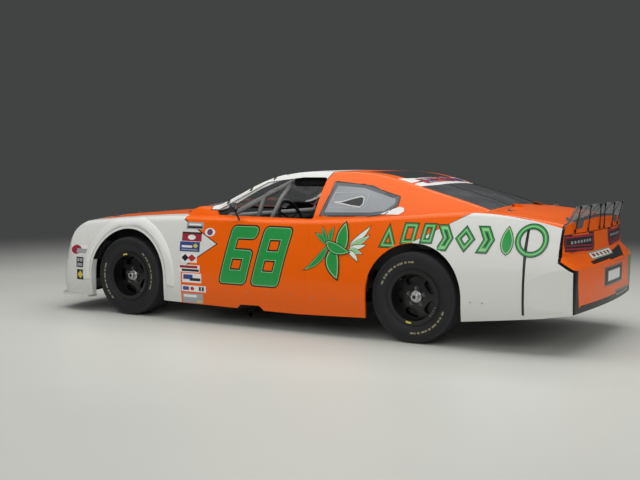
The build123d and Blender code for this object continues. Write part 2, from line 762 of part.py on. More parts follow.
with BuildPart() as frame_rails:
    for side in (-1, 1):
        main_y = sorted(side * y for y in main_rail_y)
        front_y = sorted(side * y for y in (rail_inner, rail_outer))
        rear_y = sorted(side * y for y in rear_rail_y)
        add(block((main_rail_x[0], main_y[0], rail_bottom), (main_rail_x[1], main_y[1], rail_top)))
        add(block((firewall_x + sheet + 0.3, front_y[0], front_rail_z[0]),
                  (front + 560, front_y[1], front_rail_z[1])))
        add(rear_rail(*rear_y))
    cross_half = main_rail_y[0] - 0.3
    for x_from, x_to in ((main_rail_x[1] - 100, main_rail_x[1]), (main_rail_x[0], main_rail_x[0] + 100)):
        add(block((x_from, -cross_half, rail_bottom), (x_to, cross_half, rail_top)))
    add(block((rack_x - 35, -rail_inner + 0.3, tie_rod_z - 67), (rack_x + 35, rail_inner - 0.3,
                                                             tie_rod_z - 27.3)))
    add(block((front + 560.3, -rail_outer, front_rail_z[0]), (front + 620, rail_outer, front_rail_z[1])))
    add(block((rear - 1010, -rear_rail_y[0] + 0.3, axle_z + 15), (rear - 950, rear_rail_y[0] - 0.3,
                                                              axle_z + 95)))
save(frame_rails.part, "frame_rails")

room = body_form(wall + 0.4)
floor_z = rail_top + 0.3
floor_back = main_rail_x[0] + 230
with BuildPart() as floor_pan:
    add(block((floor_back, -half_width, floor_z), (firewall_x - 0.3, half_width, floor_z + sheet)))
    add(block((floor_back, -tunnel_half, floor_z - 1), (firewall_x, tunnel_half, floor_z + sheet + 1)),
        mode=Mode.SUBTRACT)
    add(block((floor_back, -tunnel_half - sheet, floor_z), (firewall_x - 0.3, tunnel_half + sheet,
                                                        tunnel_top + sheet)))
    add(block((floor_back - 1, -tunnel_half, floor_z - 1), (firewall_x, tunnel_half, tunnel_top)),
        mode=Mode.SUBTRACT)
    add(room, mode=Mode.INTERSECT)
save(floor_pan.part, "floor_pan")

with BuildPart() as bulkheads:
    add(block((firewall_x, -half_width, floor_z), (firewall_x + sheet, half_width, roof_height)))
    add(block((firewall_x - 1, -tunnel_half - sheet - 1, 0), (firewall_x + sheet + 1,
                                                           tunnel_half + sheet + 1, tunnel_top + sheet + 1)),
        mode=Mode.SUBTRACT)
    add(block((floor_back - sheet - 0.3, -half_width, floor_z), (floor_back - 0.3, half_width,
                                                            belt_height - 40)))
    add(block((floor_back - 50, -tunnel_half - sheet - 1, 0), (floor_back + 1, tunnel_half + sheet + 1,
                                                            tunnel_top + sheet + 1)),
        mode=Mode.SUBTRACT)
    add(room, mode=Mode.INTERSECT)
save(bulkheads.part, "bulkheads")

# ------------------------------------------------------------------ nose: splitter, grille, radiator
splitter_thick = 18
splitter_z = 152 - splitter_thick - 0.3     # its underside
splitter_lip = 40           # how far it stands ahead of the bumper
splitter_outline = plan_outline(splitter_z, front + 430, half_width + 5, front + front_overhang,
                                nose_bow + 15, half_width - 45, nose_corner_radius + 20)
splitter_inner = plan_outline(splitter_z, front + 430, half_width - 115, front + front_overhang - 190,
                              nose_bow + 15, half_width - 165, nose_corner_radius - 90)
with BuildPart() as front_splitter:
    extrude(splitter_outline, amount=splitter_thick)
    extrude(splitter_inner, amount=splitter_thick, mode=Mode.SUBTRACT)
    add(wheel_arch(arch_front, -big / 2, big / 2, 5), mode=Mode.SUBTRACT)
save(front_splitter.part, "front_splitter")

radiator_x = (front + 620.3, front + 680)
radiator_half = 330
radiator_z = (front_rail_z[0], belt_height - 193)
with BuildPart() as radiator:
    add(block((radiator_x[0], -radiator_half, radiator_z[0]), (radiator_x[1], radiator_half, radiator_z[1])))
    for y in (-radiator_half - 25, radiator_half):
        add(block((radiator_x[0], y, radiator_z[0] + 10), (radiator_x[1], y + 25, radiator_z[1] - 10)))
save(radiator.part, "radiator")

bar = 3
bar_x = (front + 834, front + 850)      # the grille's bars, inside the intake's duct
column_gap, row_gap = 40, 30
with BuildPart() as front_grille:
    add(intake(radiator_x[1] + 0.3, front + 1100, 10))
    add(intake(radiator_x[1], front + 1101, 6), mode=Mode.SUBTRACT)
    for i in range(round(2 * grille_half / column_gap) + 1):
        y = -grille_half + i * column_gap
        add(block((bar_x[0], y - bar / 2, grille_z[0] - 8), (bar_x[1], y + bar / 2, grille_z[1] + 8)))
    for i in range(round((grille_z[1] - grille_z[0]) / row_gap) + 1):
        z = grille_z[0] + i * row_gap
        add(block((bar_x[0], -grille_half - 8, z - bar / 2), (bar_x[1], grille_half + 8, z + bar / 2)))
    add(room, mode=Mode.INTERSECT)
save(front_grille.part, "front_grille")

# ------------------------------------------------------------------ engine and driveline
engine_x = (firewall_x + sheet + 20, front - 195)
engine_half = 230
engine_z = (axle_z - 55, belt_height - 180)
with BuildPart() as engine_block:
    with BuildSketch(section_plane(engine_x[0])) as vee:
        with BuildLine():
            Polyline((-120, engine_z[0]), (120, engine_z[0]), (150, axle_z + 90),
                     (engine_half, axle_z + 170), (engine_half - 30, engine_z[1] - 60),
                     (90, engine_z[1]), (-90, engine_z[1]), (-engine_half + 30, engine_z[1] - 60),
                     (-engine_half, axle_z + 170), (-150, axle_z + 90), close=True)
        make_face()
    extrude(vee.sketch, amount=engine_x[1] - engine_x[0])
    mount_x = (engine_x[0] + engine_x[1]) / 2
    add(block((mount_x - 40, -rail_inner + 0.3, front_rail_z[1] - 50),
              (mount_x + 40, rail_inner - 0.3, front_rail_z[1] - 10)))
save(engine_block.part, "engine_block")

shaft_z = axle_z
gearbox_back = firewall_x - 430
pinion_x = rear + 165
with BuildPart() as drivetrain:
    add(rod((engine_x[0] - 0.3, 0, shaft_z), (firewall_x - 120, 0, shaft_z), 80))
    add(rod((firewall_x - 119, 0, shaft_z), (gearbox_back, 0, shaft_z), 65))
    add(rod((gearbox_back + 1, 0, shaft_z), (pinion_x + 0.3, 0, shaft_z), 38))
save(drivetrain.part, "drivetrain")

axle_radius = 42
with BuildPart() as rear_axle:
    add(rod((rear, -wheel_y - spindle_end, axle_z), (rear, wheel_y + spindle_end, axle_z), spindle_radius))
    add(rod((rear, -wheel_y + 30, axle_z), (rear, wheel_y - 30, axle_z), axle_radius))
    with Locations((rear, 0, axle_z)):
        Sphere(135)
    add(rod((rear, 0, axle_z), (pinion_x, 0, axle_z), 55))
    for side in (-1, 1):
        caliper_y = sorted((side * (wheel_y - 42), side * (wheel_y + 26)))
        with BuildPart(mode=Mode.PRIVATE) as rear_caliper:
            add(block((rear - 172, caliper_y[0], axle_z - 60), (rear - 96, caliper_y[1], axle_z + 60)))
            add(rod((rear, side * (wheel_y - 60), axle_z), (rear, side * (wheel_y + 60), axle_z),
                    barrel_radius - 7), mode=Mode.INTERSECT)
            add(rod((rear, side * (wheel_y + brake_from - 6), axle_z),
                    (rear, side * (wheel_y + brake_to + 6), axle_z), brake_outer + 6), mode=Mode.SUBTRACT)
        add(rear_caliper.part)
        bracket_y = sorted((side * (wheel_y - 42), side * (wheel_y - 24)))
        add(block((rear - 120, bracket_y[0], axle_z - 30), (rear, bracket_y[1], axle_z + 30)))
save(rear_axle.part, "rear_axle")

# trailing arms and springs between the axle and the frame
arm_y = 545
spring_y = (rear_rail_y[0] + rear_rail_y[1]) / 2
with BuildPart() as rear_suspension:
    for side in (-1, 1):
        y = side * arm_y
        add(block((rear - 35, y - 25, axle_z - 95), (rear + 35, y + 25, axle_z - axle_radius - 0.3)))
        add(side_prism(((rear, axle_z - 90), (main_rail_x[0] + 60, rail_top + 8),
                        (main_rail_x[0] + 60, rail_top + 48), (rear, axle_z - 50)), y - 20, y + 20))
        add(block((main_rail_x[0] + 20, y - 25, rail_top + 0.3),
                  (main_rail_x[0] + 90, y + 25, rail_top + 50)))
        y = side * spring_y
        add(rod((rear, y, axle_z + axle_radius + 0.3), (rear, y, axle_z + 115 - 0.3), 50))
save(rear_suspension.part, "rear_suspension")

cell_x = (rear - 930, rear - 450)
with BuildPart() as fuel_cell:
    add(block((cell_x[0], -rear_rail_y[0] + 0.3, axle_z - 25),
              (cell_x[1], rear_rail_y[0] - 0.3, axle_z + 235)))
    fillet(fuel_cell.edges().filter_by(Axis.Z), 30)
save(fuel_cell.part, "fuel_cell")

# ------------------------------------------------------------------ exhausts
pipe_radius = 30
pipe_y = 285
pipe_z = rail_bottom - pipe_radius - 6      # leaves room for a jack under the rails
pipe_x = (engine_x[0] + 120, middle + 58)
pipe_end = half_width - 30
with BuildPart() as exhaust_left:
    with BuildLine() as route:
        FilletPolyline((pipe_x[0], engine_half - 5, axle_z + 175), (pipe_x[0], pipe_y, axle_z + 175),
                       (pipe_x[0], pipe_y, pipe_z), (pipe_x[1], pipe_y, pipe_z),
                       (pipe_x[1], pipe_end, pipe_z), radius=(25, 90, 90))
    with BuildSketch(Plane(origin=route.line @ 0, z_dir=route.line % 0)) as pipe_section:
        Circle(pipe_radius)
    sweep(pipe_section.sketch, path=route.line)
    add(rod((pipe_x[1], pipe_end - 80, pipe_z), (pipe_x[1], pipe_end + 1, pipe_z), pipe_radius - 3),
        mode=Mode.SUBTRACT)
    add(engine_block.part, mode=Mode.SUBTRACT)
one_pipe = max(exhaust_left.part.solids(), key=lambda solid: solid.volume)
exhaust_pipes = Compound([one_pipe, mirror(one_pipe, about=Plane.XZ)])
save(exhaust_pipes, "exhaust_pipes")

# ------------------------------------------------------------------ roll cage
hoop_x = middle - 560
hoop_foot_y, hoop_top_y, hoop_top_z = 660, 530, below_roof(77)
cage_floor = floor_z + sheet + 0.3
header_x = middle - 90
header_y, header_z = 505, below_roof(93)
dash_bar = (middle + 430, 700, belt_height - 3)
leg_foot = (middle + 648, 690, cage_floor - 25)
brace_foot = (rear - 120, spring_y, axle_z + 170)

left_tubes = {              # name: start, end, tubes that this one is shaped to fit against
    "hoop_leg": ((hoop_x, hoop_foot_y, cage_floor - 10), (hoop_x, hoop_top_y, hoop_top_z), ()),
    "roof_rail": ((hoop_x, hoop_top_y, hoop_top_z), (header_x, header_y, header_z), ("hoop_leg",)),
    "pillar_bar": ((header_x, header_y, header_z), dash_bar, ("roof_rail",)),
    "front_leg": (dash_bar, leg_foot, ("pillar_bar",)),
    "door_bar_low": ((hoop_x, 655, 400), (middle + 589, 692, 400), ("hoop_leg", "front_leg")),
    "door_bar_middle": ((hoop_x, 640, 520), (middle + 546, 694, 520), ("hoop_leg", "front_leg")),
    "door_bar_high": ((hoop_x, 620, 640), (middle + 513, 696, 640), ("hoop_leg", "front_leg")),
    "rear_brace": ((hoop_x, hoop_top_y, hoop_top_z), brace_foot, ("hoop_leg", "roof_rail")),
}
cross_tubes = {
    "hoop_top": ((hoop_x, -hoop_top_y, hoop_top_z), (hoop_x, hoop_top_y, hoop_top_z),
                 ("hoop_leg", "roof_rail", "rear_brace")),
    "header": ((header_x, -header_y, header_z), (header_x, header_y, header_z),
               ("roof_rail", "pillar_bar")),
    "dash_bar": ((dash_bar[0], -dash_bar[1], dash_bar[2]), dash_bar, ("pillar_bar", "front_leg")),
    "harness_bar": ((hoop_x, -580, belt_height - 40), (hoop_x, 580, belt_height - 40), ("hoop_leg",)),
}


floor_cut = block((middle - 800, -half_width, 0), (middle + 800, half_width, cage_floor))
rail_cut = block((rear - 400, 0, 0), (rear + 200, half_width, axle_z + 195.3))


def cage_tube(start, end, fits):
    """A tube whose ends are shaped to fit the left tubes and their mirror images."""
    with BuildPart() as tube:
        add(rod(start, end, tube_radius))
        add(floor_cut, mode=Mode.SUBTRACT)
        add(rail_cut, mode=Mode.SUBTRACT)
        for other in fits:
            other_start, other_end, _ = left_tubes[other]
            run = (Vector(*other_end) - Vector(*other_start)).normalized() * tube_radius
            cutter = rod(tuple(Vector(*other_start) - run), tuple(Vector(*other_end) + run),
                         tube_radius + running_gap)
            add(cutter, mode=Mode.SUBTRACT)
            if start[1] < 0:
                add(mirror(cutter, about=Plane.XZ), mode=Mode.SUBTRACT)
    return max(tube.part.solids(), key=lambda solid: solid.volume)


cage_tubes = [cage_tube(*ends) for ends in cross_tubes.values()]
for ends in left_tubes.values():
    cage_tubes.append(cage_tube(*ends))
    cage_tubes.append(mirror(cage_tubes[-1], about=Plane.XZ))
roll_cage = Compound([solid for tube in cage_tubes for solid in tube.solids()])
save(roll_cage, "roll_cage")

# ------------------------------------------------------------------ driver's place
driver_y = 388
seat_half = 208
seat_wall = 25
seat_base = cage_floor + 45
seat_x = middle - 30        # front of the seat pan
seat_outline = ((seat_x + 40, seat_base), (seat_x + 40, seat_base + 150), (seat_x - 230, seat_base + 190),
                (seat_x - 330, seat_base + 330), (seat_x - 400, seat_base + 750),
                (seat_x - 490, seat_base + 750), (seat_x - 400, seat_base + 60), (seat_x - 370, seat_base))
seat_hollow = ((seat_x + 60, seat_base + 75), (seat_x - 290, seat_base + 45), (seat_x - 350, seat_base + 110),
               (seat_x - 455, seat_base + 800), (seat_x + 60, seat_base + 800))
with BuildPart() as racing_seat:
    add(side_prism(seat_outline, driver_y - seat_half, driver_y + seat_half))
    add(side_prism(seat_hollow, driver_y - seat_half + seat_wall, driver_y + seat_half - seat_wall),
        mode=Mode.SUBTRACT)
    for y in (driver_y - 180, driver_y + 140):
        add(block((seat_x - 330, y, cage_floor), (seat_x, y + 40, seat_base + 1)))
save(racing_seat.part, "racing_seat")

pad = 35
pad_half = seat_half - seat_wall - 4
with BuildPart() as seat_cushion:
    add(side_prism(((seat_x + 45, seat_base + 73.6 + 0.4), (seat_x - 285, seat_base + 45.8),
                    (seat_x - 285 + 5, seat_base + 45.8 + pad), (seat_x + 45, seat_base + 74 + pad)),
                   driver_y - pad_half, driver_y + pad_half))
    add(side_prism(((seat_x - 349.8, seat_base + 111), (seat_x - 444.8, seat_base + 735),
                    (seat_x - 444 + pad, seat_base + 735), (seat_x - 348 + pad, seat_base + 115)),
                   driver_y - pad_half, driver_y + pad_half))
save(seat_cushion.part, "seat_cushion")

column_top = Vector(middle + 60, driver_y, belt_height - 60)
column_foot = Vector(firewall_x - 0.3, driver_y, belt_height - 320)
column_run = (column_foot - column_top).normalized()
wheel_centre = column_top - column_run * 60
wheel_radius = 170
with BuildPart() as steering_column:
    add(rod(tuple(column_top), tuple(column_foot + column_run * 20), 20))
    add(block((firewall_x - 0.3, 0, 0), (firewall_x + 100, half_width, belt_height)), mode=Mode.SUBTRACT)
    add(rod(tuple(column_top - column_run), tuple(column_top + column_run * 60), 10 + running_gap),
        mode=Mode.SUBTRACT)
    add(block((firewall_x - 40, driver_y - 45, column_foot.Z - 60), (firewall_x - 0.3, driver_y + 45,
                                                                 column_foot.Z + 75)))
save(steering_column.part, "steering_column")

wheel_plane = Plane(origin=tuple(wheel_centre), x_dir=(0, 1, 0), z_dir=tuple(column_run * -1))
with BuildPart() as steering_wheel:
    with BuildSketch(Plane(origin=wheel_plane.origin + wheel_plane.x_dir * wheel_radius,
                           x_dir=wheel_plane.x_dir, z_dir=wheel_plane.y_dir * -1)) as grip:
        Circle(14)
    revolve(grip.sketch, axis=Axis(wheel_plane.origin, wheel_plane.z_dir))
    hub_front = wheel_centre - column_run * 12
    add(rod(tuple(hub_front), tuple(wheel_centre + column_run * 52), 30))
    add(rod(tuple(wheel_centre), tuple(column_top + column_run * 50), 10))
    for angle in (90, 210, 330):
        turn = math.radians(angle)
        out = wheel_plane.x_dir * math.cos(turn) + wheel_plane.y_dir * math.sin(turn)
        add(rod(tuple(wheel_centre + out * 20), tuple(wheel_centre + out * (wheel_radius - 2)), 8))
save(steering_wheel.part, "steering_wheel")

with BuildPart() as dashboard:
    dash_top = dash_bar[2] - tube_radius - 0.3
    add(side_prism(((middle + 395, dash_top - 160), (middle + 375, dash_top - 35),
                    (middle + 400, dash_top), (middle + 455, dash_top), (middle + 640, dash_top - 12),
                    (middle + 640, dash_top - 22), (middle + 455, dash_top - 12),
                    (middle + 430, dash_top - 25), (middle + 430, dash_top - 160)), -640, 640))
    add(rod(tuple(column_top), tuple(column_foot), 20 + running_gap), mode=Mode.SUBTRACT)
save(dashboard.part, "dashboard")

mirror_foot = (middle + 190, half_width - 62, belt_height - 20)
mirror_head = (middle + 222, half_width - 20, belt_height + 78)
with BuildPart() as side_mirror:
    add(rod(mirror_foot, mirror_head, 7))
    add(rod((mirror_head[0] - 22, mirror_head[1] - 5, mirror_head[2] + 4),
            (mirror_head[0] + 20, mirror_head[1] + 5, mirror_head[2] + 4), 40))
    add(body_clearance, mode=Mode.SUBTRACT)
save(side_mirror.part, "side_mirror")
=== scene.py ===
# %% [markdown]
# # A stock car, finished in Blender
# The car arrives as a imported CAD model: every panel, wheel and tube already has its real size and
# place. This lesson gives each of them its finish, and adds what a drawing office leaves out:
# vinyl numbers and stripes, rivets, straps, hoses, lamp stickers and the marks of use.

import json
import math

import bmesh
import bpy
from mathutils import Matrix, Vector
from mathutils.bvhtree import BVHTree


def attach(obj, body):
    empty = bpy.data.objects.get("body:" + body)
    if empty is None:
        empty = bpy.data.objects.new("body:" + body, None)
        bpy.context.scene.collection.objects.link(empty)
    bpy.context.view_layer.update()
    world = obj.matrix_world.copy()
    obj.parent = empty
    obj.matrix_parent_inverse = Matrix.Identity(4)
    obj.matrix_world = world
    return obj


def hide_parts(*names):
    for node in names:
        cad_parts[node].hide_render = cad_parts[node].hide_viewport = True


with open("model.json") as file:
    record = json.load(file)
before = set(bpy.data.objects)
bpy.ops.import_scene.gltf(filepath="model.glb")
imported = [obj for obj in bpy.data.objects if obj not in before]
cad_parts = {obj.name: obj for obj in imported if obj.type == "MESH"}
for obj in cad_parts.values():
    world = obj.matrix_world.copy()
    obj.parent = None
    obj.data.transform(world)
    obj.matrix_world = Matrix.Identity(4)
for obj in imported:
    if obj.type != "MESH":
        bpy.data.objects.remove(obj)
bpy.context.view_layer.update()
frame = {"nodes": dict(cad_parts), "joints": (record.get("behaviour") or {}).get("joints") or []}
nodes = frame["nodes"]
joints = {joint["name"]: joint for joint in frame["joints"]}

# %% [markdown]
# ## Camera
# The car is seen from the driver's side, a little behind its middle, from a standing person's
# chest height and with a fairly long lens, so that the far wheels hardly shrink.

# %% Camera
EYE = Vector((-4.2827, 7.5938, 1.3308))
YAW, PITCH, ROLL = math.radians(29.953), math.radians(4.366), math.radians(0.2227)
SENSOR_MM, LENS_MM = 36.0, 55.78

forward = Vector((math.sin(YAW) * math.cos(PITCH), -math.cos(YAW) * math.cos(PITCH), -math.sin(PITCH)))
level = Vector((-math.cos(YAW), -math.sin(YAW), 0))
upward = level.cross(forward)
right = math.cos(ROLL) * level + math.sin(ROLL) * upward
above = math.cos(ROLL) * upward - math.sin(ROLL) * level

camera_data = bpy.data.cameras.new("camera")
camera_data.sensor_width = SENSOR_MM
camera_data.lens = LENS_MM
camera_data.clip_end = 200
camera = bpy.data.objects.new("camera", camera_data)
camera.matrix_world = Matrix.Translation(EYE) @ Matrix((right, above, -forward)).transposed().to_4x4()
bpy.context.collection.objects.link(camera)
bpy.context.scene.camera = camera
print("camera", [round(v, 2) for v in EYE])

# %% [markdown]
# ## Floor and light
# A plain pale floor that fades into a charcoal backdrop, an even sky light, and four large soft
# lamps: one above, one on each side and one behind. Their reflections draw the car's shoulders,
# and the dark backdrop keeps the lacquer's own colour deep.

# %% Colour and node helpers
def linear(code):
    """An sRGB hex code as linear red, green, blue and alpha."""
    values = [int(code[i:i + 2], 16) / 255 for i in (1, 3, 5)]
    return [v / 12.92 if v <= 0.04045 else ((v + 0.055) / 1.055) ** 2.4 for v in values] + [1.0]


class Nodes:
    """A node tree being drawn. An input may be a socket, a number, a vector or a hex colour."""

    def __init__(self, owner):
        owner.use_nodes = True
        self.tree, self.nodes = owner.node_tree, owner.node_tree.nodes

    def join(self, socket, value):
        if isinstance(value, bpy.types.NodeSocket):
            self.tree.links.new(value, socket)
        else:
            socket.default_value = linear(value) if isinstance(value, str) else value

    def put(self, kind, settings=None, **inputs):
        """Adds a node and gives its outputs. An input goes by its name, or by _ and its number."""
        node = self.nodes.new("ShaderNode" + kind)
        for key, value in (settings or {}).items():
            setattr(node, key, value)
        for key, value in inputs.items():
            self.join(node.inputs[int(key[1:]) if key[0] == "_" else key.replace("_", " ")], value)
        return node.outputs

    def math(self, operation, first, second=0.0, third=0.0, clamp=False):
        return self.put("Math", {"operation": operation, "use_clamp": clamp},
                        _0=first, _1=second, _2=third)[0]

    def times(self, first, factor, plus=0.0):
        return self.math("MULTIPLY_ADD", first, factor, plus)

    def minus(self, first, second):
        return self.math("SUBTRACT", first, second)

    def least(self, first, *others):
        for other in others:
            first = self.math("MINIMUM", first, other)
        return first

    def mix(self, factor, first, second):
        return self.put("Mix", {"data_type": "RGBA"}, _0=factor, _6=first, _7=second)[2]

    def noise(self, place, scale, detail):
        return self.put("TexNoise", Vector=place, Scale=scale, Detail=detail)[0]


class Look(Nodes):
    """A material whose Principled shader is worked out from Object coordinates."""

    def __init__(self, name, **principled):
        self.material = bpy.data.materials.new(name)
        super().__init__(self.material)
        self.shader = self.nodes["Principled BSDF"]
        self.place = self.put("TexCoord")["Object"]
        self.wire(**principled)

    def wire(self, **inputs):
        for key, value in inputs.items():
            self.join(self.shader.inputs[key.replace("_", " ")], value)

    def bumped(self, strength, height, **inputs):
        """Wires the inputs and a bump of up to a millimetre, and gives the material."""
        raised = self.put("Bump", Strength=strength, Distance=0.001, Height=height)[0]
        self.wire(Normal=raised, **inputs)
        return self.material


def object_of(name, shape, finishes):
    """Makes an object from a bmesh and gives it its finishes."""
    mesh = bpy.data.meshes.new(name)
    shape.to_mesh(mesh)
    shape.free()
    for finish in finishes:
        mesh.materials.append(finish)
    made = bpy.data.objects.new(name, mesh)
    bpy.context.collection.objects.link(made)
    return made


print("middle grey is", [round(v, 3) for v in linear("#808080")])

# %% Floor and lamps
BACKDROP = "#424343"
FLOOR_HALF, FLOOR_DROP = 60, 0.0005          # the floor lies a hair under the tyres
HAZE_FROM, HAZE_TO = 4.6, 11.0               # where the floor fades into the backdrop
bpy.context.scene.view_settings.view_transform = "Standard"

look = Look("floor_paint", Roughness=0.45, Specular_IOR_Level=0.3)
look.wire(Base_Color=look.mix(look.noise(look.place, 0.6, 3.0), "#C6C7C0", "#D2D2CA"))
away = look.put("VectorMath", {"operation": "LENGTH"}, _0=look.place)["Value"]
fade = look.put("MapRange", {"interpolation_type": "SMOOTHSTEP"}, Value=away,
                From_Min=HAZE_FROM, From_Max=HAZE_TO)[0]
haze = look.put("Emission", Color=BACKDROP, Strength=1.0)[0]
blend = look.put("MixShader", _0=fade, _1=look.shader.outputs[0], _2=haze)[0]
look.join(look.nodes["Material Output"].inputs["Surface"], blend)
shape = bmesh.new()
bmesh.ops.create_grid(shape, x_segments=1, y_segments=1, size=FLOOR_HALF)
floor = object_of("floor", shape, [look.material])
floor.location.z = -FLOOR_DROP

world = bpy.data.worlds.new("studio")
bpy.context.scene.world = world
sky = Nodes(world)
rays = sky.put("LightPath")
seen = sky.math("MAXIMUM", rays["Is Camera Ray"], rays["Is Transmission Ray"])
seen = sky.math("MAXIMUM", seen, rays["Is Glossy Ray"])
background = sky.nodes["Background"].inputs
sky.join(background["Color"], sky.mix(seen, "#E8EAEC", BACKDROP))
sky.join(background["Strength"], sky.times(seen, 0.6, 0.4))

LAMPS = (                   # name, place, width and height, watts
    ("overhead", (-0.3, 0.8, 4.8), (9.0, 4.4), 230),
    ("driver_side", (-2.0, 8.0, 4.4), (9.0, 4.0), 175),
    ("far_side", (0.5, -4.2, 6.4), (7.0, 1.8), 130),
    ("tail", (-8.0, 1.5, 4.0), (5.0, 2.4), 75))
AIM = Vector((0, 0, 0.5))
for name, spot, size, power in LAMPS:
    lamp_data = bpy.data.lights.new(name, "AREA")
    lamp_data.shape = "RECTANGLE"
    lamp_data.size, lamp_data.size_y = size
    lamp_data.energy = power
    lamp = bpy.data.objects.new(name, lamp_data)
    lamp.location = spot
    lamp.rotation_euler = (AIM - Vector(spot)).to_track_quat("-Z", "Y").to_euler()
    bpy.context.collection.objects.link(lamp)
print("lamps", [name for name, *_ in LAMPS])

# %% [markdown]
# ## Livery paint
# The body is sheet steel and moulded panels in two-pack polyurethane: coloured base coats masked
# off along straight edges, thin black coach lines over the joins, and a clear lacquer on top.
# The masks are drawn as straight-sided outlines on the car's side, and a chain of nodes measures
# how far inside an outline each point lies, so every edge stays sharp however near the eye is.

# %% Masks from outlines
ORANGE, WHITE, BLACK = "#F06200", "#D8D8D3", "#0B0B0C"
COACH_LINE, FINE_LINE, TAIL_LINE = 0.004, 0.0015, 0.009      # half the width of a black line


def inside(look, outline):
    """How far a point lies inside a convex outline of (x, z) corners."""
    parts = []
    pairs = list(zip(outline, outline[1:] + outline[:1]))
    if sum(x0 * z1 - x1 * z0 for (x0, z0), (x1, z1) in pairs) < 0:
        pairs = [(second, first) for first, second in pairs]
    for (x0, z0), (x1, z1) in pairs:
        run = Vector((x1 - x0, z1 - z0)).normalized()
        part = look.times(look.x, -run.y, run.y * x0 - run.x * z0)
        parts.append(look.times(look.z, run.x, part))
    return look.least(*parts)


def covered(look, colour, depth, paint, line):
    """Paints where depth is positive, with a black line of half-width line along the edge."""
    colour = look.mix(look.math("GREATER_THAN", depth, 0.0), colour, paint)
    edge = look.math("LESS_THAN", look.math("ABSOLUTE", depth), line)
    return look.mix(edge, colour, BLACK)


# %% [markdown]
# Lacquer is never perfectly level: orange peel is a ripple a few millimetres across and a few
# hundredths deep. Road dirt gathers low on the sides and dulls the gloss there.

# %% Lacquered paint
PEEL_SCALE = 160            # ripples to the metre: about 6 mm each
DIRT_TOP, DIRT_FADE = 0.47, 0.25


def primer_inside_painted_shade_below(look, colour, y):
    """The body's inner skin is dark primer, and every surface facing down gets the same dark as painted
    shade.
    """
    _, facing_y, facing_z = look.put("SeparateXYZ", _0=look.put("TexCoord")["Normal"])
    out = look.times(facing_y, look.math("SIGN", y))
    inward = look.times(look.math("LESS_THAN", out, -0.12), look.math("LESS_THAN", facing_z, 0.3))
    # faces that look down are darkened as painted shade
    facing_down_shade = look.math("LESS_THAN", facing_z, -0.3)
    return look.mix(look.math("MAXIMUM", inward, facing_down_shade), colour, "#1C1D1E")


def lacquered(name, ground, layers=()):
    """Two-pack paint. A layer is a function that measures its depth, a colour and half a line."""
    look = Look(name, Coat_Weight=0.32, Coat_Roughness=0.05, Specular_IOR_Level=0.12)
    look.x, y, look.z = look.put("SeparateXYZ", _0=look.place)
    colour, look.out = ground, look.math("ABSOLUTE", y)          # out is from the car's middle
    for depth_of, paint, line in layers:
        colour = covered(look, colour, depth_of(look), paint, line)
    # dark primer on the inner skin, and painted shade on every face that looks down
    colour = primer_inside_painted_shade_below(look, colour, y)
    cloud = look.noise(look.place, 1.7, 4.0)
    low = look.math("DIVIDE", look.minus(DIRT_TOP, look.z), DIRT_FADE, clamp=True)
    dirt = look.math("MULTIPLY", look.times(low, low), cloud, clamp=True)
    colour = look.mix(look.times(dirt, 0.20), colour, "#3C342C")
    rough = look.times(cloud, 0.08, look.times(dirt, 0.4, 0.3))
    return look.bumped(0.04, look.noise(look.place, PEEL_SCALE, 1.0), Base_Color=colour, Roughness=rough)


ARROW = [(0.533, 0.671), (0.90, 0.446), (0.90, 0.867)]
REAR_SIDE = [(-1.219, 0.760), (-1.872, 1.10), (-2.60, 1.10), (-2.60, 0.10), (-1.219, 0.10)]
RIDGE = 0.785               # where the rear side turns into the deck, from the middle
TAIL_HIGH = [(-2.315, 1.0), (-2.70, 1.0), (-2.70, 0.595), (-2.415, 0.595), (-2.315, 0.660)]
TAIL_LOW = [(-2.415, 0.62), (-2.70, 0.62), (-2.70, 0.10), (-2.415, 0.10)]
# These bound the near-black painted shadow on the foot of the tail bumper.
SHADOW_BAND_TOP, SHADOW_BAND_SLOPE, SHADOW_BAND_CORNER, SHADOW_BAND_FRONT = 0.350, 0.62, 0.795, -2.395
ROOF_SPLIT = [(-0.388, 1.269), (-0.420, 1.326)]
PILLAR_FOOT = 0.945         # below this the windscreen pillars are orange again
PILLAR_FRONT = 0.690        # and ahead of this too
ROOF_REFLECTION_REAR = -0.62           # behind this the middle of the roof is painted dark, a painted reflection
# how far out from the middle that painted reflection reaches
ROOF_REFLECTION_HALF = 0.46


def arrow(look):
    return inside(look, ARROW)


def beyond_ridge(look):
    return look.minus(look.out, RIDGE)


def rear_side(look):
    return look.least(beyond_ridge(look), inside(look, REAR_SIDE))


def tail_face(look):
    return look.math("MAXIMUM", inside(look, TAIL_HIGH), inside(look, TAIL_LOW))


def painted_shadow_band(look):
    """The bumper's foot, which sweeps up from the corners, is painted near-black as a painted shadow."""
    edge = look.least(look.times(look.out, -SHADOW_BAND_SLOPE, SHADOW_BAND_CORNER), SHADOW_BAND_TOP)
    return look.least(look.minus(edge, look.z), look.minus(SHADOW_BAND_FRONT, look.x))


def roof_front(look):
    """Ahead of the slanting line at the middle pillar, and above the feet of the front pillars."""
    (x0, z0), (x1, z1) = ROOF_SPLIT
    lean = (x1 - x0) / (z1 - z0)
    ahead = look.minus(look.times(look.z, -lean, look.x), x0 - lean * z0)
    return look.least(ahead, look.minus(look.z, PILLAR_FOOT), look.minus(PILLAR_FRONT, look.x))


# The back of the roof's middle is painted dark grey: a painted reflection of dark surroundings.
def painted_reflection_roof_back(look):
    return look.least(look.minus(ROOF_REFLECTION_REAR, look.x), look.minus(ROOF_REFLECTION_HALF, look.out))


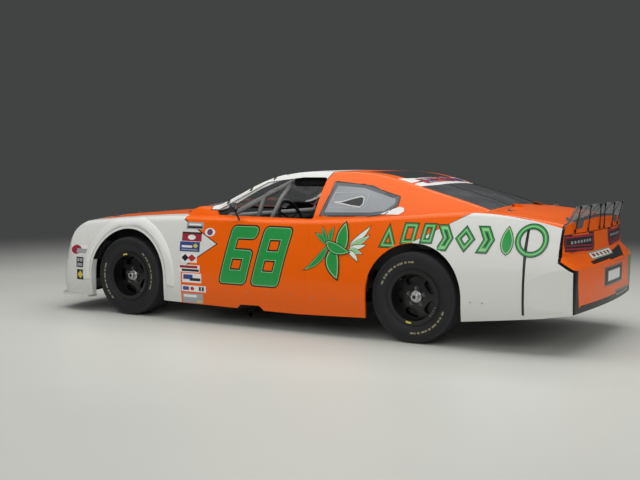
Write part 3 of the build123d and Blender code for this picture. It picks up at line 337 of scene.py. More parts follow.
white_paint = lacquered("two_pack_white", WHITE)
orange_paint = lacquered("two_pack_orange", ORANGE)
door_paint = lacquered("two_pack_orange_with_arrow", ORANGE, [(arrow, WHITE, COACH_LINE)])
quarter_paint = lacquered("two_pack_orange_and_white_quarter", ORANGE, [(rear_side, WHITE, FINE_LINE)])
tail_paint = lacquered("two_pack_orange_white_tail_painted_shadow", ORANGE,
                       [(beyond_ridge, WHITE, 0.0), (tail_face, ORANGE, TAIL_LINE),
                        # near-black painted shadow along the foot of the tail bumper
                        (painted_shadow_band, "#121213", 0.0)])
roof_paint = lacquered("two_pack_orange_white_roof_painted_reflection", ORANGE,
                       # dark grey painted reflection over the back of the roof
                       [(roof_front, WHITE, COACH_LINE), (painted_reflection_roof_back, "#2A2B2D", 0.0)])
print("paints", [m.name for m in bpy.data.materials if m.name.startswith("two_pack")])

# %% [markdown]
# ## The other finishes
# Everything that isn't bodywork is a short list: rubber, black enamel, grey enamel, bare and
# zinc-plated steel, cast and machined aluminium, polycarbonate sheet, nylon webbing, foam and
# suede. Each gets a grain at its real size, a little uneven roughness, and its own wear.

# %% Grained finishes
def grained(name, light, dark, grain_mm, roughness, bump=0.2, metallic=0.0):
    """A finish whose colour and roughness wander over grains of one size."""
    look = Look(name, Metallic=metallic)
    fine, broad = look.noise(look.place, 1000 / grain_mm, 3.0), look.noise(look.place, 9.0, 4.0)
    both = look.times(fine, 0.4, look.times(broad, 0.6))
    return look.bumped(bump, fine, Base_Color=look.mix(both, dark, light),
                       Roughness=look.times(both, 0.15, roughness - 0.075))


black_enamel = grained("black_enamel_steel", "#1B1B1C", "#0C0C0D", 6, 0.32, bump=0.05)
grey_enamel = grained("grey_enamel_tube", "#A9AAA8", "#8F908E", 8, 0.38, bump=0.05)
chassis_black = grained("powder_coated_steel", "#242527", "#151516", 3, 0.5, bump=0.12)
zinc_sheet = grained("zinc_plated_sheet", "#A8AAA9", "#7D8082", 25, 0.42, metallic=0.9, bump=0.03)
cast_aluminium = grained("sand_cast_aluminium", "#9B9C9C", "#77797A", 2, 0.55, metallic=0.85, bump=0.4)
machined_aluminium = grained("machined_aluminium", "#D2D3D2", "#AFB1B1", 5, 0.28, metallic=1.0, bump=0.03)
pipe_steel = grained("heat_stained_steel", "#4A413A", "#2A2420", 20, 0.42, metallic=0.9)
disc_iron = grained("turned_cast_iron", "#4E4B49", "#2C2927", 4, 0.4, metallic=0.9)
moulded_black = grained("moulded_black_nylon", "#222324", "#161617", 1.5, 0.55, bump=0.3)
foam_black = grained("closed_cell_foam", "#232425", "#151516", 2, 0.85, bump=0.5)
belt_webbing = grained("woven_nylon_webbing", "#23262B", "#131519", 2, 0.8, bump=0.6)
suede = grained("brushed_suede", "#1E1E20", "#121213", 1.5, 0.9, bump=0.5)
print("finishes so far", len(bpy.data.materials))

# %% [markdown]
# Race tyres have no tread pattern. The tread is scrubbed matt by the track, the sidewall keeps the
# smooth, slightly blue-black skin of its mould with fine rings pressed in it.

# %% Tyre rubber
WHEELS = ("front_left", "front_right", "rear_left", "rear_right")
TYRE_SHOULDER, RING_PITCH = 0.322, 0.0045
hub_of = {wheel: Vector(joints[wheel + "_spin"]["pos_m"]) for wheel in WHEELS}


def tyre_rubber(name, centre):
    look = Look(name, Specular_IOR_Level=0.35)
    place = look.put("Mapping", Vector=look.place, Location=[-v for v in centre])[0]
    x, _, z = look.put("SeparateXYZ", _0=place)
    radius = look.math("SQRT", look.times(z, z, look.times(x, x)))
    tread = look.math("GREATER_THAN", radius, TYRE_SHOULDER)
    dust = look.noise(place, 14.0, 5.0)
    wall, worn = look.mix(dust, "#161718", "#26272A"), look.mix(dust, "#242424", "#37363A")
    rough = look.times(tread, 0.25, look.times(dust, 0.2, 0.5))
    ring = look.math("SINE", look.times(radius, 2 * math.pi / RING_PITCH))
    relief = look.times(ring, 0.12, look.noise(place, 350.0, 2.0))
    return look.bumped(0.25, relief, Base_Color=look.mix(tread, wall, worn), Roughness=rough)


print("hubs", {wheel: [round(v, 3) for v in hub] for wheel, hub in hub_of.items()})

# %% [markdown]
# The windows are polycarbonate sheet, clear or smoked, and a little scratched.

# %% Polycarbonate sheet
def sheet_plastic(name, tint, opacity):
    look = Look(name, Roughness=0.08, IOR=1.58)
    scuffs = look.noise(look.place, 5.0, 6.0)
    look.wire(Base_Color=look.mix(0.75, look.mix(scuffs, tint, "#C9CCCE"), tint),
              Alpha=look.times(scuffs, 0.12, opacity - 0.06))
    return look.material


clear_sheet = sheet_plastic("clear_polycarbonate", "#A9AEB2", 0.22)
smoked_sheet = sheet_plastic("smoked_polycarbonate", "#5A5E61", 0.62)
rear_sheet = sheet_plastic("dark_polycarbonate", "#2B2D31", 0.86)
quarter_sheet = sheet_plastic("framed_polycarbonate", "#A4A9AD", 0.5)

# %% Finishes on the CAD nodes
def pair(part):
    return ["left_" + part, "right_" + part]


FINISHES = {
    white_paint: ["front_bumper_cover", "front_splitter", *pair("front_fender")],
    orange_paint: ["hood", "decklid", "cowl_panel", "tulip_panel"],
    door_paint: pair("door"),
    quarter_paint: pair("quarter_panel"),
    tail_paint: ["rear_bumper_cover"],
    roof_paint: ["roof_panel", *pair("sail_panel")],
    clear_sheet: ["windshield"],
    rear_sheet: ["rear_window"],
    quarter_sheet: ["quarter_windows"],
    smoked_sheet: ["spoiler"],
    black_enamel: ["spoiler_braces", "front_grille", "hood_hinges", "decklid_hinges", "side_mirror",
                   *(wheel + "_rim" for wheel in WHEELS)],
    grey_enamel: ["roll_cage"],
    chassis_black: ["frame_rails", "front_suspension", "rear_suspension", "tie_rods", *pair("knuckle"),
                    "rear_axle", "steering_rack", "fuel_cell", "steering_column"],
    zinc_sheet: ["floor_pan", "bulkheads"],
    cast_aluminium: ["engine_block", "drivetrain", "radiator"],
    pipe_steel: ["exhaust_pipes"],
    disc_iron: [wheel + "_brake_disc" for wheel in WHEELS],
    moulded_black: ["racing_seat", "dashboard"],
    foam_black: ["seat_cushion"],
    suede: ["steering_wheel"],
}
for wheel, hub in hub_of.items():
    FINISHES[tyre_rubber(wheel + "_rubber", hub)] = [wheel + "_tyre"]
for finish, members in FINISHES.items():
    for name in members:
        nodes[name].data.materials.clear()
        nodes[name].data.materials.append(finish)
print("finished nodes", sum(len(members) for members in FINISHES.values()), "of", len(nodes))

# %% [markdown]
# ## Vinyl
# Numbers, stripes and sponsors' patches are cut from vinyl film and pressed onto the panels. Each
# is drawn flat, sliced into narrow strips so that it can bend, and then moved straight onto the
# bodywork, where it stands off by a hair of thickness.

# %% Pieces, skins and films
FILM = 0.0006               # how far vinyl stands off the paint
STRIP = 0.03                # width of the strips that let vinyl bend
SIDES = ((1, "left"), (-1, "right"))


def piece(name, shape, finishes, body="chassis", smooth=False):
    """Makes an object from a bmesh and lets it ride on a body."""
    made = object_of(name, shape, finishes)
    for face in made.data.polygons:
        face.use_smooth = smooth
    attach(made, body)
    return made


def skin_of(*names):
    """A surface to move things onto."""
    shape = bmesh.new()
    for name in names:
        shape.from_mesh(nodes[name].data)
    skin = BVHTree.FromBMesh(shape)
    shape.free()
    return skin


def vinyl_film(name, colour):
    """Cast vinyl: even colour, a soft gloss, and faint bubbles and scuffs."""
    look = Look(name, Coat_Weight=0.3, Coat_Roughness=0.1, Specular_IOR_Level=0.2)
    scuffs = look.noise(look.place, 30.0, 5.0)
    return look.bumped(0.03, look.noise(look.place, 120.0, 0.0),
                       Base_Color=look.mix(look.times(scuffs, 0.12), colour, "#8E8E8A"),
                       Roughness=look.times(scuffs, 0.15, 0.3))


FILMS = {
    "green": "#0D9440", "pale_green": "#8FCB86", "black": "#0E0E0F", "white": "#E9E9E6",
    "red": "#B3202B", "blue": "#2B4486", "silver": "#9FA3A6", "yellow": "#D8C24A",
    "crimson": "#9A1634", "cream": "#8C8468",
}
film = {name: vinyl_film("vinyl_" + name, colour) for name, colour in FILMS.items()}
print("films", len(film))

# %% Moving a flat shape onto a skin
def sliced(shape, axes):
    """Cuts a flat shape into strips along each axis, so that it can follow a curve."""
    for axis in axes:
        reach = [v.co[axis] for v in shape.verts]
        low, high = min(reach), max(reach)
        normal = Vector([float(k == axis) for k in range(3)])
        for k in range(1, int((high - low) / STRIP) + 1):
            bmesh.ops.bisect_plane(shape, geom=shape.verts[:] + shape.edges[:] + shape.faces[:],
                                   plane_co=normal * (low + k * STRIP), plane_no=normal)


def landed(shape, skin, axis, sign, lift):
    """Moves a shape along an axis, from its positive (1) or negative (-1) end, onto a skin."""
    way = Vector([-float(sign * (k == axis)) for k in range(3)])
    lost = []
    for vert in shape.verts:
        start = vert.co.copy()
        start[axis] = 3.2 * sign
        hit, normal, _, _ = skin.ray_cast(start, way)
        if hit is None:
            lost.append(vert)
        else:
            vert.co = hit + normal * (lift if normal[axis] * sign > 0 else -lift)
    bmesh.ops.delete(shape, geom=lost, context="VERTS")
    shape.normal_update()
    bmesh.ops.reverse_faces(shape, faces=[f for f in shape.faces if f.normal[axis] * sign < 0])
    return shape


def dropped(shape, skin, axis, sign, lift=FILM):
    """Lands a shape that is drawn in the car's own coordinates."""
    sliced(shape, [k for k in range(3) if k != axis])
    return landed(shape, skin, axis, sign, lift)


def pressed(shape, skin, side, centre, lift=FILM):
    """Lands a shape on one side of the car; it is drawn as read there, x to the right, z up."""
    sliced(shape, (0, 2))
    for vert in shape.verts:
        vert.co.x, vert.co.z = centre[0] - side * vert.co.x, centre[1] + vert.co.z
    return landed(shape, skin, 1, side, lift)


# %% [markdown]
# A race number is read from the stands, so its strokes are thick and its corners are round. Each
# digit starts as a grid of three by five cells with some taken out. The corners are beveled, and
# then a black rim and a pale line inside it are inset from the edge.

# %% Digits
DIGITS = {
    "6": ("###", "#..", "###", "#.#", "###"),
    "8": ("###", "#.#", "###", "#.#", "###"),
}
STROKES = (0.100, 0.078, 0.100)              # widths of the three columns
BARS = (0.123, 0.068, 0.098, 0.068, 0.139)    # heights of the five rows, from the top
LEAN = 0.26                                  # how far a digit leans for each metre of height
DIGIT_PITCH, CORNER, PALE_LINE, DARK_LINE = 0.314, 0.050, 0.005, 0.012
NUMBER_START = {1: (0.388, 0.838), -1: (-0.205, 0.838)}      # x and z of its top left corner
UPRIGHT = Matrix.Rotation(math.pi / 2, 3, "X")
LEAFY = ("green", "pale_green", "black")     # body, inner line and rim


def digit_shape(rows):
    shape, gone = bmesh.new(), []
    bmesh.ops.create_grid(shape, x_segments=3, y_segments=5, size=1)
    bmesh.ops.rotate(shape, verts=shape.verts, cent=(0, 0, 0), matrix=UPRIGHT)
    for face in shape.faces:
        middle = face.calc_center_median()
        if rows[round((1 - middle.z) * 2.5 - 0.5)][round((middle.x + 1) * 1.5 - 0.5)] == ".":
            gone.append(face)
    for vert in shape.verts:
        vert.co.x = sum(STROKES[:round((vert.co.x + 1) * 1.5)])
        vert.co.z = -sum(BARS[:round((1 - vert.co.z) * 2.5)])
    bmesh.ops.delete(shape, geom=gone, context="FACES")
    corners = [v for v in shape.verts if len(v.link_faces) == 1]
    bmesh.ops.bevel(shape, geom=corners, affect="VERTICES", offset=CORNER, offset_type="OFFSET",
                    segments=6, profile=0.5, material=-1)
    bmesh.ops.dissolve_limit(shape, angle_limit=0.01, verts=shape.verts, edges=shape.edges)
    return shape


def inset(shape, faces, thickness):
    return bmesh.ops.inset_region(shape, faces=faces, thickness=thickness, use_even_offset=True,
                                  use_boundary=True)["faces"]


def outlined(shape, inner=PALE_LINE, outer=DARK_LINE):
    """Insets two rims into a flat shape: finish 2 along the edge, finish 1 inside it."""
    for thickness, place in ((outer, 2), (inner, 1)):
        for face in inset(shape, [f for f in shape.faces if f.material_index == 0], thickness):
            face.material_index = place
    return shape


for side, name in SIDES:
    door = skin_of(name + "_door")
    for k, digit in enumerate("68"):
        shape = outlined(digit_shape(DIGITS[digit]))
        for vert in shape.verts:
            vert.co.x += LEAN * vert.co.z + k * DIGIT_PITCH
        pressed(shape, door, side, NUMBER_START[side])
        piece(f"{name}_number_{digit}", shape, [film[colour] for colour in LEAFY])
print("numbers pressed on")

# %% [markdown]
# Everything else in vinyl is drawn straight in the car's own coordinates and dropped onto the
# bodywork from one side, from above or from an end. Layers lie one over another.

# %% Drawings and layers
def flat(points, axis=1, shape=None):
    """A flat face whose outline is a list of points in the two coordinates that axis leaves."""
    shape = bmesh.new() if shape is None else shape
    corners = [shape.verts.new((*pair[:axis], 0, *pair[axis:])) for pair in points]
    bmesh.ops.contextual_create(shape, geom=corners)
    return shape


def oval(centre, half_a, half_b, steps=36, axis=1):
    turn = [2 * math.pi * k / steps for k in range(steps)]
    return flat([(centre[0] + half_a * math.cos(t), centre[1] + half_b * math.sin(t)) for t in turn], axis)


def hollowed(shape, stroke):
    """Leaves only a rim of a flat face."""
    middle = shape.faces[:]
    inset(shape, middle, stroke)
    bmesh.ops.delete(shape, geom=middle, context="FACES")
    return shape


def leaf(base, tip, width, bend=0.0, steps=9):
    """A pointed leaf from base to tip; bend bows its middle to one side."""
    base, along = Vector(base), Vector(tip) - Vector(base)
    over = Vector((-along.y, along.x)).normalized()
    left, right = [], []
    for k in range(steps + 1):
        t = k / steps
        spot = base + along * t + over * bend * 4 * t * (1 - t)
        half = over * width / 2 * math.sin(math.pi * t ** 0.8) ** 0.8
        left.append(tuple(spot + half))
        right.append(tuple(spot - half))
    return flat(left + right[-2:0:-1])


def layered(name, layers, skin, axis, sign, body="chassis", lift=FILM):
    """Drops layers of (shape, film or films) one over another and makes one piece of them."""
    whole, used = bmesh.new(), []
    for level, (shape, colours) in enumerate(layers):
        colours = (colours,) if isinstance(colours, str) else colours
        used += [colour for colour in colours if colour not in used]
        for face in shape.faces:
            face.material_index = used.index(colours[face.material_index])
        dropped(shape, skin, axis, sign, lift + 0.8 * FILM * level)
        carrier = bpy.data.meshes.new("carrier")
        shape.to_mesh(carrier)
        shape.free()
        whole.from_mesh(carrier)
        bpy.data.meshes.remove(carrier)
    return piece(name, whole, [film[colour] for colour in used], body)


flanks = {side: skin_of(*(f"{name}_{part}" for part in ("front_fender", "door", "quarter_panel")),
                        "front_bumper_cover", "rear_bumper_cover") for side, name in SIDES}
print("skins", len(flanks))

# %% [markdown]
# A sprig of leaves spreads behind the door, and a chain of outlined shapes runs from it over the
# rear wheel to the tail: green with a pale core and a thin black rim.

# %% Sprig and chain
WHITISH, PALISH = ("white", "pale_green", "black"), ("pale_green", "white", "black")
SPRIG = (                   # base, tip, width, bend, colours
    ((-0.700, 0.715), (-0.872, 0.872), 0.050, 0.012, WHITISH),
    ((-0.700, 0.705), (-0.874, 0.800), 0.046, 0.010, PALISH),
    ((-0.700, 0.695), (-0.852, 0.725), 0.044, 0.006, WHITISH),
    ((-0.696, 0.685), (-0.824, 0.650), 0.042, -0.004, PALISH),
    ((-0.690, 0.675), (-0.790, 0.588), 0.044, -0.010, WHITISH),
    ((-0.520, 0.715), (-0.302, 0.500), 0.058, -0.030, LEAFY),
    ((-0.500, 0.712), (-0.392, 0.800), 0.044, 0.008, LEAFY),
    ((-0.512, 0.720), (-0.452, 0.850), 0.042, -0.006, LEAFY),
    ((-0.530, 0.725), (-0.556, 0.850), 0.044, -0.010, LEAFY),
    ((-0.560, 0.700), (-0.618, 0.436), 0.128, 0.022, LEAFY),
    ((-0.640, 0.640), (-0.655, 0.897), 0.118, -0.010, LEAFY),
    ((-0.490, 0.735), (-0.720, 0.660), 0.088, 0.020, LEAFY),
)
LEAF_LINE, LEAF_RIM = 0.07, 0.08             # shares of a leaf's width
STROKE, CORE, RIM = 0.040, 0.010, 0.006
CHAIN = (                   # outlines, from the sprig to the tail
    ((-0.945, 0.708), (-1.022, 0.898), (-1.100, 0.708)),
    ((-1.118, 0.740), (-1.142, 0.902), (-1.262, 0.902), (-1.238, 0.740)),
    ((-1.275, 0.752), (-1.299, 0.902), (-1.402, 0.902), (-1.378, 0.752)),
    ((-1.405, 0.704), (-1.455, 0.800), (-1.405, 0.896), (-1.492, 0.896), (-1.542, 0.800), (-1.492, 0.704)),
    ((-1.630, 0.700), (-1.552, 0.798), (-1.630, 0.896), (-1.708, 0.798)),
    ((-1.715, 0.700), (-1.765, 0.798), (-1.715, 0.894), (-1.802, 0.894), (-1.852, 0.798), (-1.802, 0.700)),
)
CHAIN_LEAF = ((-1.940, 0.692), (-1.940, 0.900), 0.094)
CHAIN_RING = ((-2.112, 0.803), 0.117, 0.117)

for side, name in SIDES:
    layers = [(outlined(leaf(base, tip, width, bend), width * LEAF_LINE, width * LEAF_RIM), colours)
              for base, tip, width, bend, colours in SPRIG]
    layered(name + "_sprig", layers, flanks[side], 1, side)
    links = [hollowed(link, STROKE) for link in (*map(flat, CHAIN), oval(*CHAIN_RING))]
    layers = [(outlined(link, CORE, RIM), ("pale_green", "green", "black")) for link in links]
    layers.append((outlined(leaf(*CHAIN_LEAF), 0.008, 0.005), LEAFY))
    layered(name + "_chain", layers, flanks[side], 1, side)
print("sprig of", len(SPRIG), "leaves, chain of", len(CHAIN) + 2)

# %% [markdown]
# Sponsors' places down the seam of the door and on the nose stay blank of words: plain patches
# with bars, discs and lozenges in their colours.

# %% Patches
PATCHES = (                 # x of front and back, z of top and foot, ground; then the marks
    (0.862, 0.683, 0.842, 0.783, "silver",
     ("bar", .06, .94, .15, .42, "black"), ("bar", .15, .85, .55, .8, "white")),
    (0.898, 0.694, 0.759, 0.683, "crimson",
     ("bar", .0, 1., .82, 1., "black"), ("oval", .3, .7, .15, .7, "white")),
    (0.915, 0.707, 0.678, 0.596, "blue",
     ("bar", .1, .62, .4, .62, "white"), ("bar", .08, .9, .14, .24, "silver"),
     ("lozenge", .66, .92, .35, .85, "yellow")),
    (0.898, 0.731, 0.582, 0.504, "white",
     ("lozenge", .04, .5, .1, .9, "black"), ("lozenge", .42, .96, .1, .9, "red")),
    (0.918, 0.700, 0.485, 0.423, "white",
     ("bar", .05, .9, .55, .9, "crimson"), ("bar", .15, .97, .12, .42, "black")),
    (0.880, 0.683, 0.415, 0.336, "white",
     ("bar", .06, .55, .35, .85, "blue"), ("bar", .4, .96, .2, .5, "black")),
    (0.887, 0.637, 0.312, 0.260, "white",
     ("bar", .05, .3, .2, .8, "blue"), ("oval", .36, .52, .2, .8, "red"),
     ("bar", .72, .8, .2, .85, "black"), ("bar", .84, .92, .2, .85, "black")),
    (0.880, 0.670, 0.245, 0.163, "silver",
     ("bar", .06, .7, .6, .85, "white"), ("bar", .7, .95, .12, .3, "yellow")),
    (2.172, 1.940, 0.594, 0.512, "white",
     ("oval", .0, .55, .0, 1., "crimson"), ("bar", .3, 1., .12, .62, "silver")),
    (2.100, 2.010, 0.488, 0.396, "black",
     ("bar", .12, .45, .55, .88, "silver"), ("bar", .55, .88, .55, .88, "silver"),
     ("bar", .12, .88, .12, .4, "silver")),
    (2.092, 2.004, 0.376, 0.284, "black", ("lozenge", .1, .9, .1, .9, "yellow")),
)
DOOR_OVAL = (0.613, 0.765)
OVAL_RINGS = ((0.052, 0.034, "white"), (0.0286, 0.0255, "blue"), (0.013, 0.0136, "red"))


def box(x0, x1, z0, z1):
    return flat([(x0, z0), (x1, z0), (x1, z1), (x0, z1)])


def patch_layers(front, back, top, foot, ground, *marks):
    """A ground and its marks, whose fractions run from the front and from the foot."""
    layers = [(box(front, back, foot, top), ground)]
    for kind, a0, a1, b0, b1, colour in marks:
        x0, x1 = (front + (back - front) * a for a in (a0, a1))
        z0, z1 = (foot + (top - foot) * b for b in (b0, b1))
        x, z = (x0 + x1) / 2, (z0 + z1) / 2
        if kind == "bar":
            shape = box(x0, x1, z0, z1)
        elif kind == "oval":
            shape = oval((x, z), (x0 - x1) / 2, (z1 - z0) / 2)
        else:
            shape = flat([(x0, z), (x, z0), (x1, z), (x, z1)])
        layers.append((shape, colour))
    return layers


for side, name in SIDES:
    for k, patch in enumerate(PATCHES):
        layered(f"{name}_patch_{k + 1}", patch_layers(*patch), flanks[side], 1, side)
    rings = [(oval(DOOR_OVAL, half_x, half_z), colour) for half_x, half_z, colour in OVAL_RINGS]
    layered(name + "_door_oval", rings, flanks[side], 1, side)
print("patches", 2 * len(PATCHES))

# %% [markdown]
# ## Wheels
# Each steel wheel is held by five coned nuts round a bare aluminium drive flange. A yellow
# balancing sticker, a valve and a few clip-on weights sit by the rim, and the tyre maker's place
# on the sidewall holds plain cream dashes.

# %% Turned, hexagonal and square pieces
ALONG = {"X": Matrix.Rotation(math.pi / 2, 3, "Y"), "Y": UPRIGHT, "Z": Matrix.Identity(3)}


def turned(profile, steps=48):
    """Spins a list of (radius, along) points round the Y axis."""
    shape = bmesh.new()
    points = [shape.verts.new((radius, along, 0)) for radius, along in profile]
    edges = [shape.edges.new(pair) for pair in zip(points, points[1:])]
    bmesh.ops.spin(shape, geom=points + edges, cent=(0, 0, 0), axis=(0, 1, 0), angle=2 * math.pi,
                   steps=steps, use_merge=True)
    bmesh.ops.remove_doubles(shape, verts=shape.verts, dist=1e-6)
    bmesh.ops.recalc_face_normals(shape, faces=shape.faces)
    return shape


def prism_at(shape, radius, depth, centre, sides=6, along="Y", top=None):
    """Adds a closed prism or cone to a bmesh."""
    made = bmesh.ops.create_cone(shape, cap_ends=True, segments=sides, radius1=radius,
                                 radius2=radius if top is None else top, depth=depth)["verts"]
    bmesh.ops.rotate(shape, verts=made, cent=(0, 0, 0), matrix=ALONG[along])
    bmesh.ops.translate(shape, verts=made, vec=centre)


def box_at(shape, low, high):
    """Adds a closed box between two corners to a bmesh."""
    made = bmesh.ops.create_cube(shape, size=1)["verts"]
    low, high = Vector(low), Vector(high)
    bmesh.ops.scale(shape, verts=made, vec=high - low)
    bmesh.ops.translate(shape, verts=made, vec=(low + high) / 2)


def wheel_piece(wheel, name, shape, finish):
    """Mirrors a shape drawn for a left wheel if need be, and puts it on a wheel's hub."""
    if hub_of[wheel].y < 0:
        bmesh.ops.scale(shape, verts=shape.verts, vec=(1, -1, 1))
        bmesh.ops.reverse_faces(shape, faces=shape.faces)
    bmesh.ops.translate(shape, verts=shape.verts, vec=hub_of[wheel])
    piece(f"{wheel}_{name}", shape, [finish], wheel + "_wheel")


def on_circle(radius, y, degrees):
    angle = math.radians(degrees)
    return Vector((radius * math.cos(angle), y, radius * math.sin(angle)))


# %% Nuts, drive flanges, valves and weights
FLANGE = [(0.0285, 0.068), (0.046, 0.068), (0.046, 0.076), (0.040, 0.080), (0.030, 0.080),
          (0.030, 0.106), (0.026, 0.1085), (0.0, 0.1085)]
STUD = (0.0042, 0.006)                                       # radius, length
NUT = ((0.0135, 0.022, 0.0655, 6), (0.0165, 0.005, 0.0570, 20),
       (0.0065, 0.012, 0.0815, 12))                          # radius, length, y, sides
VALVE = (0.0045, 0.05, (0.112, 0.075, 0.128))
WEIGHT = Vector((0.008, 0.002, 0.004))                       # half of its size
nut_steel = grained("zinc_plated_nuts", "#8B8D8F", "#5D5F62", 4, 0.35, metallic=0.95)
for wheel in WHEELS:
    shape = turned(FLANGE)
    for k in range(8):
        prism_at(shape, *STUD, on_circle(0.038, 0.083, 45 * k))
    wheel_piece(wheel, "drive_flange", shape, machined_aluminium)
    shape = bmesh.new()
    for k in range(5):
        for radius, depth, y, sides in NUT:
            prism_at(shape, radius, depth, on_circle(0.0635, y, 72 * k + 18), sides=sides)
    wheel_piece(wheel, "nuts", shape, nut_steel)
    shape = bmesh.new()
    prism_at(shape, *VALVE, sides=12)
    for k in range(4):
        spot = on_circle(0.190, 0.1305, 200 + 7 * k)
        box_at(shape, spot - WEIGHT, spot + WEIGHT)
    wheel_piece(wheel, "valve_and_weights", shape, nut_steel)
print("wheel hardware on", len(WHEELS), "wheels")

# %% Sidewall dashes and rim stickers
DASHES = (0.030, 0.018, 0.024, 0.012, 0.030, 0.022, 0.016, 0.028, 0.020, 0.014, 0.026)
DASH_RADIUS, DASH_HEIGHT, DASH_GAP, DASH_LIFT = 0.266, 0.014, 0.010, 0.0008
FIRST_DASH = {"front_left": 42, "front_right": 70, "rear_left": 112, "rear_right": 30}


def dash(shape, width, height, radius, angle):
    """A small flat bar on a circle round the origin, at an angle from the top, clockwise."""
    made = bmesh.ops.create_grid(shape, x_segments=3, y_segments=1, size=0.5)["verts"]
    bmesh.ops.rotate(shape, verts=made, cent=(0, 0, 0), matrix=UPRIGHT)
    for vert in made:
        bearing = angle + vert.co.x * width / radius
        reach = radius + vert.co.z * height
        vert.co = Vector((reach * math.sin(bearing), 0, reach * math.cos(bearing)))


for wheel, hub in hub_of.items():
    side = 1 if hub.y > 0 else -1
    dashes, sticker = bmesh.new(), bmesh.new()
    for group in (0, math.pi):
        bearing = math.radians(FIRST_DASH[wheel]) + group
        for width in DASHES:
            dash(dashes, width, DASH_HEIGHT, DASH_RADIUS, bearing)
            bearing += (width + DASH_GAP) / DASH_RADIUS
    dash(sticker, 0.045, 0.013, 0.192, math.radians(-12 if "front" in wheel else 190))
    for name, shape, part, colour in (("sidewall_dashes", dashes, "tyre", "cream"),
                                      ("balance_sticker", sticker, "rim", "yellow")):
        pressed(shape, skin_of(f"{wheel}_{part}"), side, (hub.x, hub.z), DASH_LIFT)
        piece(f"{wheel}_{name}", shape, [film[colour]], wheel + "_wheel")
print("sidewalls marked")

# %% [markdown]
# ## Trim round the cabin
# The windscreen pillars wear white moulded covers held by black clips. Inside them are the bars
# of the cage, wrapped in foam where a helmet could touch, and behind them everything is black.

# %% Skins, hoses and straps
def skinned(shape, rings, side=1):
    """Adds a closed skin over a row of rings of points to a bmesh, mirrored if side is -1."""
    rows = [[shape.verts.new((x, y * side, z)) for x, y, z in ring] for ring in rings]
    made = [shape.faces.new((first[k - 1], first[k], second[k], second[k - 1]))
            for first, second in zip(rows, rows[1:]) for k in range(len(first))]
    made += [shape.faces.new(rows[0]), shape.faces.new(rows[-1][::-1])]
    bmesh.ops.recalc_face_normals(shape, faces=made)


def hose(shape, points, radius, side=1, sides=14, flat_to=1.0):
    """Adds a closed tube, or with flat_to a strap, along a chain of points to a bmesh."""
    points = [Vector((x, y * side, z)) for x, y, z in points]
    turns = [2 * math.pi * n / sides for n in range(sides)]
    rings = []
    for k, spot in enumerate(points):
        along = (points[min(k + 1, len(points) - 1)] - points[max(k - 1, 0)]).normalized()
        across = along.cross(Vector((0.12, 0.31, 0.94))).normalized()
        over = along.cross(across) * flat_to
        rings.append([spot + radius * (math.cos(t) * across + math.sin(t) * over) for t in turns])
    skinned(shape, rings)


PILLAR = (                  # x, y and z of the screen's edge, and how far the cover stands up
    (0.690, 0.750, 0.970, 0.004), (0.620, 0.736, 0.977, 0.014), (0.550, 0.720, 1.000, 0.024),
    (0.450, 0.696, 1.051, 0.028), (0.350, 0.672, 1.112, 0.022), (0.250, 0.648, 1.169, 0.013),
    (0.150, 0.624, 1.213, 0.008), (0.060, 0.606, 1.242, 0.003))
CLIPS = (2, 4, 6)
moulded_white = grained("moulded_white_cover", "#E6E6E2", "#DADAD6", 5, 0.32, bump=0.05)
for side, name in SIDES:
    shape = bmesh.new()
    skinned(shape, [((x, y - 0.004, z - 0.004), (x, y + 0.002, z + up), (x, y + 0.018, z + up),
                     (x, y + 0.038, z + up - 0.020), (x, y + 0.050, z - 0.040),
                     (x, y + 0.030, z - 0.030)) for x, y, z, up in PILLAR], side)
    piece(name + "_pillar_cover", shape, [moulded_white])
    shape = bmesh.new()
    for k in CLIPS:
        x, y, z, up = PILLAR[k]
        hose(shape, ((x, y - 0.012, z + up), (x - 0.002, y + 0.016, z + up + 0.004),
                     (x - 0.004, y + 0.046, z + up - 0.024)), 0.011, side, flat_to=0.45)
        prism_at(shape, 0.006, 0.006, (x - 0.002, (y + 0.016) * side, z + up + 0.010), along="Z")
    piece(name + "_pillar_clips", shape, [black_enamel])
print("pillar covers on")

# %% Bars, foam and nets in the cabin
BARS_IN_WINDOW = (
    ((0.334, 0.640, 0.860), (0.300, 0.638, 0.960), (0.262, 0.634, 1.064), (0.215, 0.628, 1.092),
     (0.150, 0.610, 1.122)),
    ((0.200, 0.640, 0.860), (0.165, 0.634, 0.930), (0.100, 0.620, 1.060), (0.030, 0.580, 1.170)),
)
FOAM = (
    ((0.010, 0.532, 1.186), (-0.130, 0.531, 1.186), (-0.300, 0.530, 1.186)),
    ((-0.400, 0.560, 1.060), (-0.408, 0.575, 0.980), (-0.412, 0.590, 0.900)),
    ((-0.385, 0.450, 1.193), (-0.385, 0.250, 1.193), (-0.385, 0.060, 1.193)),
)
BAR_RADIUS, FOAM_RADIUS, TIE_RADIUS, TIE_HALF = 0.019, 0.037, 0.0385, 0.012
NET_BACK, NET_FRONT, NET_TOP, NET_Y = -0.395, -0.020, 0.905, 0.600
foam_wrap = grained("closed_cell_padding", "#1D1E20", "#0F1011", 3, 0.8, bump=0.5)
